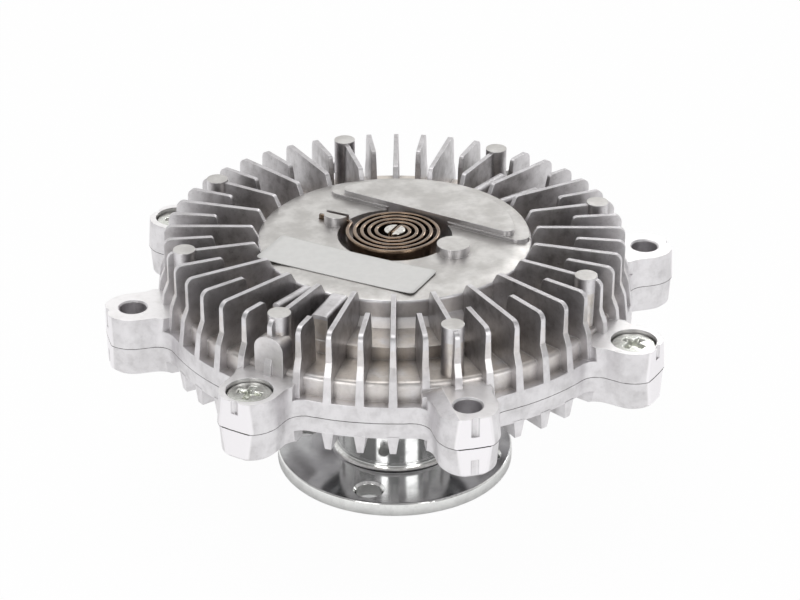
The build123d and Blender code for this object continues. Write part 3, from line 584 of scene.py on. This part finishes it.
@dataclass(frozen=True)
class PlatedForging:
    """Bright zinc plating on the turned flange and neck."""

    zinc: Colour = (0.86, 0.865, 0.85)
    dull: Colour = (0.64, 0.64, 0.63)
    shade: Colour = (0.34, 0.34, 0.35)
    stain: Colour = (0.26, 0.22, 0.17)
    foot_z: float = 4.8 * MM
    neck_radius: float = 18.5 * MM
    fillet_reach: float = 2.6 * MM
    fillet_height: Span = (0.2 * MM, 2.2 * MM)
    level: float = 0.9
    lines: Pattern = Pattern(0.22 * MM, 2.0, 0.7)
    clouds: Pattern = Pattern(6.0 * MM, 4.0, 0.65)
    specks: Pattern = Pattern(0.6 * MM, 2.0, 0.6)
    rust: Pattern = Pattern(0.9 * MM, 3.0, 0.7)
    line_depth: float = 0.01 * MM
    line_strength: float = 0.25
    edge_round: float = 0.25 * MM
    dull_clouds: Span = (0.35, 0.75)
    dull_specks: Span = (0.62, 0.8)
    rust_spots: Span = (0.3, 0.7)
    cloud_dulling: float = 0.6
    speck_dulling: float = 0.4
    flat_shade: float = 0.55
    cloud_shade: float = 0.4
    stain_strength: float = 0.8
    gloss_rough: float = 0.07
    cloud_rough: float = 0.10
    rust_rough: float = 0.3

    def material(self) -> bpy.types.Material:
        """Glossy plating with fine turning lines and a brown stain where the neck meets the flange.

        Returns:
            The material.
        """
        g = Graph.of("plated_forging")
        place = g.place()
        x, y, z = g.split(place)
        r = g.radius(x, y)
        _, _, facing_z = g.split(g.facing())
        clouds = self.clouds.on(g, place)
        specks = self.specks.on(g, place).ramp(*self.dull_specks)
        near_neck = 1.0 - (r - self.neck_radius).ramp(0.0, self.fillet_reach)
        low = 1.0 - (z - self.foot_z).ramp(*self.fillet_height)
        rusty = near_neck * low * self.rust.on(g, place).ramp(*self.rust_spots)
        colour = g.blend(clouds.ramp(*self.dull_clouds) * self.cloud_dulling, self.zinc, self.dull)
        colour = g.blend(specks * self.speck_dulling, colour, self.dull)
        flat = facing_z.above(self.level) * (self.flat_shade + clouds * self.cloud_shade)
        colour = g.blend(flat, colour, self.shade)
        colour = g.blend(rusty * self.stain_strength, colour, self.stain)
        lines = self.lines.on(g, g.join(r, 0.0, z))
        return g.finish(
            Base_Color=colour,
            Metallic=1.0,
            Roughness=self.gloss_rough + clouds * self.cloud_rough + rusty * self.rust_rough,
            Normal=g.relief(lines, self.line_depth, self.line_strength, self.edge_round),
        )


GRAIN_PATTERNS: dict[Grain, Pattern] = {
    Grain.GROUND: Pattern(0.15 * MM, 2.0, 0.6),
    Grain.PRESSED: Pattern(0.4 * MM, 2.0, 0.5, (0.1, 1.0, 1.0), 0.3),
    Grain.POLISHED: Pattern(2.5 * MM, 1.0, 0.5),
}


@dataclass(frozen=True)
class PlainMetal:
    """Worked metal of a small piece."""

    name: str
    bright: Colour
    dark: Colour
    rough: float
    grain: Grain = Grain.GROUND
    mottle: float = 2.0 * MM
    edge: float = 0.15 * MM
    coat: float = 0.0
    coat_rough: float = 0.1
    mark_depth: float = 0.01 * MM
    mark_strength: float = 0.3
    mark_rough: float = 0.15
    dark_patches: Span = (0.3, 0.75)

    def material(self) -> bpy.types.Material:
        """Two shades in soft patches, with the marks of how the piece was worked.

        Returns:
            The material.
        """
        g = Graph.of(self.name)
        place = g.place()
        x, y, z = g.split(place)
        ground = self.grain is Grain.GROUND
        marks = GRAIN_PATTERNS[self.grain].on(g, g.join(g.radius(x, y), 0.0, z) if ground else place)
        patches = g.noise(place, self.mottle, detail=3.0, rough=0.6).ramp(*self.dark_patches)
        return g.finish(
            Base_Color=g.blend(patches, self.bright, self.dark),
            Metallic=1.0,
            Roughness=self.rough + (marks - 0.5) * self.mark_rough,
            Normal=g.relief(marks, self.mark_depth, self.mark_strength, self.edge),
            Coat_Weight=self.coat,
            Coat_Roughness=self.coat_rough,
        )


@dataclass(frozen=True)
class SoftFinish:
    """Rubber, moulded plastic or paper."""

    name: str
    light: Colour
    dark: Colour
    rough: float
    fibre: float = 0.3 * MM
    depth: float = 0.01 * MM
    fibres_in_cloud: float = 12.0
    dark_clouds: Span = (0.3, 0.7)
    cloud_darkening: float = 0.5
    grain_darkening: float = 0.3
    grain_rough: float = 0.1
    grain_strength: float = 0.3

    def material(self) -> bpy.types.Material:
        """Matt surface with a fine grain and faint clouds.

        Returns:
            The material.
        """
        g = Graph.of(self.name)
        place = g.place()
        grain = g.noise(place, self.fibre, detail=3.0, rough=0.6)
        clouds = g.noise(place, self.fibres_in_cloud * self.fibre, detail=2.0, rough=0.5)
        darkness = clouds.ramp(*self.dark_clouds) * self.cloud_darkening + grain * self.grain_darkening
        return g.finish(
            Base_Color=g.blend(darkness, self.light, self.dark),
            Roughness=self.rough + (grain - 0.5) * self.grain_rough,
            Normal=g.relief(grain, self.depth, self.grain_strength),
        )


FINISHES: dict[str, CastMetal | PlatedForging | PlainMetal | SoftFinish] = {
    "cast_metal": CastMetal(),
    "plated_forging": PlatedForging(),
    "bearing_steel": PlainMetal("bearing_steel", (0.58, 0.58, 0.59), (0.48, 0.48, 0.49), 0.22),
    "polished_ball": PlainMetal(
        "polished_ball", (0.72, 0.72, 0.73), (0.66, 0.66, 0.67), 0.08, grain=Grain.POLISHED
    ),
    "moulded_cage": SoftFinish("moulded_cage", (0.52, 0.46, 0.33), (0.42, 0.36, 0.24), 0.45),
    "seal_rubber": SoftFinish("seal_rubber", (0.035, 0.035, 0.037), (0.02, 0.02, 0.022), 0.6),
    "spring_steel": PlainMetal(
        "spring_steel", (0.20, 0.20, 0.21), (0.12, 0.12, 0.13), 0.4, grain=Grain.PRESSED
    ),
    "zinc_screw": PlainMetal(
        "zinc_screw", (0.84, 0.85, 0.80), (0.62, 0.63, 0.585), 0.24, grain=Grain.PRESSED, mottle=0.9 * MM
    ),
    "turned_rotor": PlainMetal("turned_rotor", (0.68, 0.68, 0.68), (0.58, 0.58, 0.58), 0.28),
    "sheet_steel": PlainMetal(
        "sheet_steel", (0.48, 0.48, 0.48), (0.38, 0.38, 0.38), 0.32, grain=Grain.PRESSED
    ),
    "pin_steel": PlainMetal(
        "pin_steel", (0.80, 0.79, 0.76), (0.55, 0.52, 0.47), 0.18, grain=Grain.POLISHED, mottle=0.9 * MM
    ),
    "bimetal_strip": PlainMetal(
        "bimetal_strip", (0.27, 0.185, 0.12), (0.17, 0.115, 0.075), 0.20,
        grain=Grain.POLISHED, mottle=4.0 * MM, edge=0.0, coat=0.7,
    ),
    "label_paper": SoftFinish(
        "label_paper", (0.70, 0.695, 0.68), (0.64, 0.635, 0.62), 0.6, fibre=0.2 * MM, depth=0.006 * MM
    ),
}


def add_mesh(name: str, points: np.ndarray, faces: list, finish: bpy.types.Material) -> bpy.types.Object:
    """Put points and faces into a new smooth object at the origin.

    Args:
        name: name of the piece.
        points: one row (x, y, z) for each vertex, in metres.
        faces: vertex numbers of each face.
        finish: material of the piece.

    Returns:
        The new object.
    """
    mesh = bpy.data.meshes.new(name)
    mesh.from_pydata(points.tolist(), [], faces)
    mesh.polygons.foreach_set("use_smooth", [True] * len(mesh.polygons))
    mesh.materials.append(finish)
    mesh.update()
    piece = bpy.data.objects.new(name, mesh)
    bpy.context.scene.collection.objects.link(piece)
    return piece


def closed_tube(rows: int, across: int, first: int = 0, turned_round: bool = False) -> list:
    """Quads between rows of points that each close into a ring, with one face over either end.

    Args:
        rows: number of rings.
        across: points in a ring.
        first: number of the first vertex.
        turned_round: whether to turn the faces round.

    Returns:
        The faces. Where the rings run anticlockwise seen from the first row's end, they face inwards
        unless they are turned round.
    """
    row = np.arange(rows - 1)[:, None] * across + first
    here = np.arange(across)[None, :]
    ahead = (here + 1) % across
    quads = np.stack([row + here, row + ahead, row + across + ahead, row + across + here], axis=-1)
    quads = quads.reshape(-1, 4)
    near_end = first + np.arange(across)[::-1]
    far_end = first + (rows - 1) * across + np.arange(across)
    if turned_round:
        quads, near_end, far_end = quads[:, ::-1], near_end[::-1], far_end[::-1]
    return [*quads.tolist(), near_end.tolist(), far_end.tolist()]


def turned(x: np.ndarray, y: np.ndarray, degrees: float) -> tuple[np.ndarray, np.ndarray]:
    """Points turned about Z: x cos a less y sin a, and x sin a plus y cos a.

    Args:
        x: positions along X.
        y: positions along Y.
        degrees: angle, anticlockwise seen from above.

    Returns:
        The new positions along X and Y.
    """
    c = math.cos(math.radians(degrees))
    s = math.sin(math.radians(degrees))
    return x * c - y * s, x * s + y * c


@dataclass
class BimetalCoil:
    """Strip wound on edge, whose tab turns with the valve pin while its tail stays in the lug."""

    thickness: float = 1.2 * MM
    width: float = 5.9 * MM
    crown: float = 0.11 * MM
    corner: float = 0.16 * MM
    top_z: float = 83.2 * MM
    outer_radius: float = 14.6 * MM
    step: float = 1.15 * MM
    half_turns: int = 9
    tail_reach: float = 27.0 * MM
    tail_bend: float = 1.6 * MM
    tab_bend: float = 1.0 * MM
    tab_length: float = 1.5 * MM
    slot_angle: float = 139.0
    arc_step: float = 3.0
    tail_points: int = 9
    tab_points: int = 5
    corner_points: int = 4
    edge_points: int = 9

    def arc(self, x: float, radius: float, start: float, end: float, y: float = 0.0) -> np.ndarray:
        """Points x + r cos a, y + r sin a, with the normal to the left of travel.

        Args:
            x: centre of the arc.
            radius: radius of the arc.
            start: first angle, in degrees.
            end: last angle, in degrees; less than the first for a clockwise arc.
            y: centre of the arc.

        Returns:
            One row (x, y, normal x, normal y) for each point.
        """
        count = max(int(abs(end - start) / self.arc_step), 3)
        a = np.radians(np.linspace(start, end, count + 1))
        side = -1.0 if end > start else 1.0
        cos_a = np.cos(a)
        sin_a = np.sin(a)
        return np.stack([x + radius * cos_a, y + radius * sin_a, side * cos_a, side * sin_a], 1)

    def centre_line(self) -> np.ndarray:
        """Path of the strip from the tip of the tail to the end of the tab.

        Half circles about two centres half a step to either side make the turns, each one step smaller.

        Returns:
            One row (x, y, normal x, normal y) for each point.
        """
        half = self.step / 2
        bend_x = half + math.sqrt((self.outer_radius + self.tail_bend) ** 2 - self.tail_bend**2)
        first = math.degrees(math.asin(self.tail_bend / (self.outer_radius + self.tail_bend)))
        tail_x = np.linspace(self.tail_reach, bend_x, self.tail_points)
        still = np.zeros_like(tail_x)
        parts = [np.stack([tail_x, still, still, still - 1.0], 1)]
        parts.append(self.arc(bend_x, self.tail_bend, 270.0, 180.0 + first, self.tail_bend))
        parts.append(self.arc(half, self.outer_radius, first, 180.0))
        for i in range(1, self.half_turns):
            centre = half if i % 2 == 0 else -half
            start = 180.0 * (i % 2)
            parts.append(self.arc(centre, self.outer_radius - i * self.step, start, start + 180.0))
        inner = self.outer_radius - self.half_turns * self.step
        bend_y = -math.sqrt((inner - self.tab_bend) ** 2 - (self.tab_bend - half) ** 2)
        last = math.degrees(math.atan2(-bend_y, self.tab_bend - half))
        parts.append(self.arc(-half, inner, 180.0, 180.0 + last))
        parts.append(self.arc(-self.tab_bend, self.tab_bend, 180.0 + last, 360.0, bend_y))
        tab_y = np.linspace(bend_y, self.tab_length, self.tab_points)
        still = np.zeros_like(tab_y)
        parts.append(np.stack([still, tab_y, still - 1.0, still], 1))
        return np.concatenate([part if i == 0 else part[1:] for i, part in enumerate(parts)])

    def section(self) -> tuple[np.ndarray, np.ndarray]:
        """Rectangle with rounded corners across the strip, anticlockwise from its foot, seen from the tail.

        Its two edges bulge: the height grows by crown * (1 - (across / half the thickness) squared).

        Returns:
            Distance to the right of the path and height, for each point.
        """
        half = self.thickness / 2
        u = half - self.corner
        v = self.width / 2 - self.corner - self.crown
        corners = [(u, -v, 270.0), (u, v, 0.0), (-u, v, 90.0), (-u, -v, 180.0)]
        across = []
        up = []
        for corner_u, corner_v, start in corners:
            a = np.radians(np.linspace(start, start + 90.0, self.corner_points))
            across.append(corner_u + self.corner * np.cos(a))
            up.append(corner_v + self.corner * np.sin(a))
            if start in (0.0, 180.0):
                edge = np.linspace(corner_u, -corner_u, self.edge_points)[1:-1]
                across.append(edge)
                up.append(np.full_like(edge, corner_v + math.copysign(self.corner, corner_v)))
        right = np.concatenate(across)
        height = np.concatenate(up)
        height += np.sign(height) * self.crown * (1.0 - (right / half) ** 2)
        return right, height + self.top_z - self.width / 2

    def build(self, finish: bpy.types.Material) -> bpy.types.Object:
        """Carry the section along the path and close its ends.

        The faces point into the strip, since they aren't turned round.

        Args:
            finish: material of the strip.

        Returns:
            The coil.
        """
        path = self.centre_line()
        across, up = self.section()
        x = path[:, 0, None] - path[:, 2, None] * across[None, :]
        y = path[:, 1, None] - path[:, 3, None] * across[None, :]
        x, y = turned(x, y, self.slot_angle)
        points = np.stack([x, y, np.broadcast_to(up[None, :], x.shape)], -1).reshape(-1, 3)
        rows, count = x.shape
        coil = add_mesh("wound_bimetal_strip", points, closed_tube(rows, count), finish)
        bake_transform(coil)
        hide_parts("bimetal_coil")
        return coil


@dataclass
class BlankLabel:
    """Bare paper label, which lies on the plateau and lifts a little at its ends."""

    length: float = 55.0 * MM
    width: float = 17.3 * MM
    corner: float = 1.6 * MM
    thickness: float = 0.14 * MM
    end_lift: float = 0.35 * MM
    side_lift: float = 0.0875 * MM
    middle: tuple[float, float] = (-20.1 * MM, -16.9 * MM)
    base_z: float = 81.61 * MM
    turn: float = -41.3
    rows: int = 14
    smallest_ring: float = 0.02
    corner_steps: int = 6
    side_steps: int = 24

    def rim(self) -> tuple[np.ndarray, np.ndarray]:
        """Rounded rectangle, anticlockwise: quarter circles about four centres, with straight sides between.

        Returns:
            Positions along the label and across it.
        """
        start = np.array([0.0, 90.0, 180.0, 270.0])[:, None]
        a = np.radians(start + np.linspace(0.0, 90.0, self.corner_steps)[None, :])
        centre_x = np.array([1.0, -1.0, -1.0, 1.0])[:, None] * (self.length / 2 - self.corner)
        centre_y = np.array([1.0, 1.0, -1.0, -1.0])[:, None] * (self.width / 2 - self.corner)
        x = (centre_x + self.corner * np.cos(a)).ravel()
        y = (centre_y + self.corner * np.sin(a)).ravel()
        ends_corner = np.arange(x.size) % self.corner_steps == self.corner_steps - 1
        counts = np.where(ends_corner, self.side_steps, 1)
        point = np.repeat(np.arange(x.size), counts)
        share = (np.arange(point.size) - np.repeat(np.cumsum(counts) - counts, counts)) / self.side_steps
        along = x[point] + (np.roll(x, -1) - x)[point] * share
        across = y[point] + (np.roll(y, -1) - y)[point] * share
        return along, across

    def build(self, finish: bpy.types.Material) -> bpy.types.Object:
        """Rings from the middle to the rim above, and back to the middle below.

        The height grows by end lift * (2 x / length) to the fourth + side lift * (2 y / width) squared.

        Args:
            finish: material of the paper.

        Returns:
            The label.
        """
        rim_x, rim_y = self.rim()
        share = np.linspace(self.smallest_ring, 1.0, self.rows)
        share = np.concatenate([share, share[::-1]])[:, None]
        x = share * rim_x[None, :]
        y = share * rim_y[None, :]
        bend = self.end_lift * (2.0 * x / self.length) ** 4 + self.side_lift * (2.0 * y / self.width) ** 2
        above = np.repeat([self.thickness, 0.0], self.rows)[:, None]
        turned_x, turned_y = turned(x, y, self.turn)
        middle_x, middle_y = self.middle
        points = np.stack([turned_x + middle_x, turned_y + middle_y, self.base_z + bend + above], -1)
        faces = closed_tube(2 * self.rows, rim_x.size, turned_round=True)
        label = add_mesh("bare_paper_label", points.reshape(-1, 3), faces, finish)
        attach(label, "housing")
        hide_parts("blank_label")
        return label


@dataclass
class CoverScrews:
    """Pan-head screws with a cross recess and a cut thread, in the counterbored ears."""

    circle: float = 85.0 * MM
    angles: tuple[float, ...] = (45.0, 135.0, 225.0, 315.0)
    turns: tuple[float, ...] = (20.0, 75.0, 58.0, 30.0)
    seat_z: float = 62.2 * MM
    head_radius: float = 6.85 * MM
    head_height: float = 3.8 * MM
    head_round: float = 0.7 * MM
    head_under_bevel: float = 0.2 * MM
    dome: float = 0.35 * MM
    recess_length: float = 8.2 * MM
    recess_width: float = 2.0 * MM
    recess_depth: float = 2.2 * MM
    recess_side_slope: float = 0.24 * MM
    recess_end_slope: float = 1.6 * MM
    shank_radius: float = 3.0 * MM
    shank_length: float = 13.6 * MM
    shank_start: float = 0.1 * MM
    tip_bevel: float = 0.8 * MM
    pitch: float = 1.0 * MM
    thread_depth: float = 0.45 * MM
    thread_start: float = 0.3 * MM
    thread_end: float = 0.5 * MM
    smallest_ring: float = 0.02 * MM
    around: int = 112
    top_rows: int = 44
    rim_rows: int = 9
    shank_rows: int = 110

    def profile(self) -> tuple[np.ndarray, np.ndarray]:
        """Half section from the middle of the head over its rounded rim, under it and down the shank.

        Returns:
            Radius and height above the seat, for each row.
        """
        flat = self.head_radius - self.head_round
        top_r = np.linspace(self.smallest_ring, flat, self.top_rows)
        top_z = self.head_height - self.dome * (top_r / self.head_radius) ** 2
        a = np.radians(np.linspace(90.0, 0.0, self.rim_rows))[1:]
        rim_r = flat + self.head_round * np.cos(a)
        rim_z = top_z[-1] - self.head_round + self.head_round * np.sin(a)
        under_r = [self.head_radius, self.head_radius - self.head_under_bevel, self.shank_radius]
        under_z = [self.head_under_bevel, 0.0, 0.0]
        down_z = np.linspace(-self.shank_start, self.tip_bevel - self.shank_length, self.shank_rows)
        down_r = np.full_like(down_z, self.shank_radius)
        tip_r = [self.shank_radius - self.tip_bevel, self.smallest_ring]
        tip_z = [-self.shank_length, -self.shank_length]
        radius = np.concatenate([top_r, rim_r, under_r, down_r, tip_r])
        height = np.concatenate([top_z, rim_z, under_z, down_z, tip_z])
        return radius, height

    def arm(self, along: np.ndarray, across: np.ndarray) -> np.ndarray:
        """Share of the recess's depth in one arm: side slope times end slope, each held between 0 and 1.

        Args:
            along: distance along the arm.
            across: distance across it.

        Returns:
            The share.
        """
        slope = self.recess_side_slope
        side = np.clip((self.recess_width / 2 + slope / 2 - np.abs(across)) / slope, 0.0, 1.0)
        end = np.clip((self.recess_length / 2 - np.abs(along)) / self.recess_end_slope, 0.0, 1.0)
        return side * end

    def recess(self, x: np.ndarray, y: np.ndarray) -> np.ndarray:
        """Depth of the cross at a place: the deeper of its two arms."""
        return self.recess_depth * np.maximum(self.arm(x, y), self.arm(y, x))

    def surface(self) -> tuple[np.ndarray, np.ndarray, np.ndarray]:
        """One screw: its profile turned about the axis, with the recess sunk and the thread cut.

        The thread's radius falls by its depth times the triangle wave of height / pitch - angle / full turn.

        Returns:
            X, Y and Z, one row for each ring.
        """
        radius, height = self.profile()
        a = np.linspace(0.0, 2.0 * math.pi, self.around, endpoint=False)
        turns = height[:, None] / self.pitch - a[None, :] / (2.0 * math.pi)
        wave = np.abs((turns % 1.0) * 2.0 - 1.0)
        threaded = (height < -self.thread_start) & (height > self.thread_end - self.shank_length)
        r = radius[:, None] - np.where(threaded[:, None], self.thread_depth * wave, 0.0)
        x = r * np.cos(a)[None, :]
        y = r * np.sin(a)[None, :]
        high = (height > self.head_height - 2.0 * self.dome)[:, None]
        head = high & (r < self.head_radius - self.head_round)
        z = self.seat_z + height[:, None] - np.where(head, self.recess(x, y), 0.0)
        return x, y, z

    def build(self, finish: bpy.types.Material) -> bpy.types.Object:
        """Put a screw into each counterbored ear, turned as the photograph shows it.

        Args:
            finish: material of the screws.

        Returns:
            The four screws as one piece.
        """
        x, y, z = self.surface()
        points = []
        faces = []
        for number, (angle, turn) in enumerate(zip(self.angles, self.turns)):
            here_x, here_y = turned(x, y, turn)
            here_x = here_x + self.circle * math.cos(math.radians(angle))
            here_y = here_y + self.circle * math.sin(math.radians(angle))
            points.append(np.stack([here_x, here_y, z], -1).reshape(-1, 3))
            faces += closed_tube(*x.shape, first=number * x.size, turned_round=True)
        screws = add_mesh("cross_recess_screws", np.concatenate(points), faces, finish)
        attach(screws, "housing")
        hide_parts("cover_screws")
        return screws


@dataclass(frozen=True)
class Lamp:
    """Soft rectangular lamp that faces the housing, with sizes in metres and power in watts."""

    name: str
    place: Point
    width: float
    height: float
    power: float
    aim: Point = (0.0, 0.0, 0.06)

    def build(self) -> None:
        """Hang the lamp and turn it to its aim."""
        data = bpy.data.lights.new(self.name, "AREA")
        data.shape = "RECTANGLE"
        data.size = self.width
        data.size_y = self.height
        data.energy = self.power
        lamp = bpy.data.objects.new(self.name, data)
        lamp.location = self.place
        direction = Vector(self.aim) - Vector(self.place)
        lamp.rotation_euler = direction.to_track_quat("-Z", "Y").to_euler()
        bpy.context.scene.collection.objects.link(lamp)


LAMPS = (
    Lamp("overhead", (-0.15, 0.10, 0.85), 0.6, 0.6, 1.8),
    Lamp("back_right", (0.55, 0.67, 0.60), 0.40, 0.05, 0.6),
    Lamp("front_left", (-0.514, -0.606, 0.30), 0.30, 0.45, 1.4),
    Lamp("front_right", (0.276, -0.745, 0.30), 0.34, 0.45, 1.4),
)


@dataclass(frozen=True)
class Viewpoint:
    """Where the photograph was taken from, worked out from the ears' places in it."""

    azimuth: float = 14.7508
    elevation: float = 28.0542
    roll: float = -0.0834
    distance: float = 804.959 * MM
    across: float = 1.6818 * MM
    above: float = -7.8767 * MM
    target_z: float = 66.85 * MM
    lens: float = 112.56
    sensor: float = 36.0
    clip_end: float = 20.0

    def matrix(self) -> Matrix:
        """Place and axes of the camera.

        Returns:
            The camera's matrix in the world.
        """
        sin_az = math.sin(math.radians(self.azimuth))
        cos_az = math.cos(math.radians(self.azimuth))
        sin_el = math.sin(math.radians(self.elevation))
        cos_el = math.cos(math.radians(self.elevation))
        sin_roll = math.sin(math.radians(self.roll))
        cos_roll = math.cos(math.radians(self.roll))
        right = Vector((cos_az, -sin_az, 0.0))
        forward = Vector((sin_az * cos_el, cos_az * cos_el, -sin_el))
        up = Vector((sin_az * sin_el, cos_az * sin_el, cos_el))
        x_axis = cos_roll * right - sin_roll * up
        y_axis = sin_roll * right + cos_roll * up
        eye = Vector((0.0, 0.0, self.target_z)) - self.distance * forward
        eye += self.across * x_axis + self.above * y_axis
        matrix = Matrix((x_axis, y_axis, -forward)).transposed().to_4x4()
        matrix.translation = eye
        return matrix

    def build(self) -> None:
        """Put the scene's camera there."""
        data = bpy.data.cameras.new("camera")
        data.lens = self.lens
        data.sensor_width = self.sensor
        data.sensor_fit = "HORIZONTAL"
        data.clip_end = self.clip_end
        camera = bpy.data.objects.new("camera", data)
        camera.matrix_world = self.matrix()
        bpy.context.scene.collection.objects.link(camera)
        bpy.context.scene.camera = camera


@dataclass
class Studio:
    """White surroundings and pale floor, with the soft lamps."""

    bright_side: Point = (0.255, 0.951, 0.174)
    bright_from: Span = (-0.15, 0.6)
    dim_sky: float = 0.30
    bright_sky: float = 0.62
    white: Colour = (1.0, 1.0, 1.0)
    floor_colour: Colour = (0.9, 0.9, 0.9)
    floor_reach: float = 3.0
    floor_z: float = -0.05 * MM
    floor_glow: float = 0.97
    shaded_glow: float = 0.3
    shaded_to: Span = (34.0 * MM, 38.5 * MM)
    mirrored_from: Span = (38.0 * MM, 46.0 * MM)

    def surroundings(self) -> None:
        """World that the camera sees white; metal sees it bright behind the object and dim in front."""
        world = bpy.data.worlds.new("studio")
        bpy.context.scene.world = world
        g = Graph(world)
        seen = g.out(g.node("ShaderNodeLightPath"), "Is Camera Ray")
        vectors = {0: g.out(g.node("ShaderNodeTexCoord"), "Generated"), 1: self.bright_side}
        side = g.out(g.node("ShaderNodeVectorMath", {"operation": "DOT_PRODUCT"}, vectors), "Value")
        sky = self.dim_sky + side.ramp(*self.bright_from) * self.bright_sky
        back = g.node("ShaderNodeBackground", None, {"Color": self.white, "Strength": g.lerp(seen, sky, 1.0)})
        g.node("ShaderNodeOutputWorld", None, {"Surface": g.out(back)})

    def floor(self) -> None:
        """Pale floor that looks white and keeps a faint shadow, with painted shadow close under the object:
        dim there to the camera and in reflections.
        """
        g = Graph.of("studio_floor")
        rays = g.node("ShaderNodeLightPath")
        x, y, _ = g.split(g.place())
        r = g.radius(x, y)
        mirrored = g.larger(g.out(rays, "Is Glossy Ray"), g.out(rays, "Is Transmission Ray"))
        # Painted shadow in reflections: the floor is dim close to the object.
        mirrored = mirrored * r.ramp(*self.mirrored_from)
        seen = g.out(rays, "Is Camera Ray") * g.lerp(r.ramp(*self.shaded_to), self.shaded_glow, 1.0)
        share = g.larger(seen, mirrored) * self.floor_glow
        matt = g.node("ShaderNodeBsdfDiffuse", None, {"Color": self.floor_colour})
        glow = g.node("ShaderNodeEmission", None, {"Color": self.white, "Strength": 1.0})
        both = g.node("ShaderNodeMixShader", None, {0: share, 1: g.out(matt), 2: g.out(glow)})
        g.node("ShaderNodeOutputMaterial", None, {"Surface": g.out(both)})
        corners = np.array([[-1.0, -1.0], [1.0, -1.0], [1.0, 1.0], [-1.0, 1.0]]) * self.floor_reach
        corners = np.column_stack([corners, np.full(4, self.floor_z)])
        ground = add_mesh("studio_floor", corners, [[0, 1, 2, 3]], g.owner)

    def build(self) -> None:
        """Set up the surroundings, the floor and the lamps."""
        self.surroundings()
        self.floor()
        for lamp in LAMPS:
            lamp.build()


def dress(finishes: dict[str, bpy.types.Material]) -> None:
    """Give every part of the frame the finish of its slot.

    Args:
        finishes: materials by the name of their slot.
    """
    for part in frame["record"]["subparts"]:
        node = frame["nodes"][part["node"]]
        finish = finishes[part["material_slot"]]
        if not node.material_slots:
            node.data.materials.append(finish)
        for slot in node.material_slots:
            slot.material = finish
        log.info("dressed %s as %s", part["node"], finish.name)


def main() -> None:
    """Build the finishes, the new pieces, the studio and the camera, in that order."""
    logging.basicConfig(level=logging.INFO, format="%(message)s")
    bpy.context.scene.view_settings.view_transform = "Standard"
    finishes = {slot: finish.material() for slot, finish in FINISHES.items()}
    dress(finishes)
    coil = BimetalCoil().build(finishes["bimetal_strip"])
    label = BlankLabel().build(finishes["label_paper"])
    screws = CoverScrews().build(finishes["zinc_screw"])
    for piece in (coil, label, screws):
        log.info("built %s with %d points", piece.name, len(piece.data.vertices))
    Studio().build()
    Viewpoint().build()


if __name__ == "__main__":
    main()
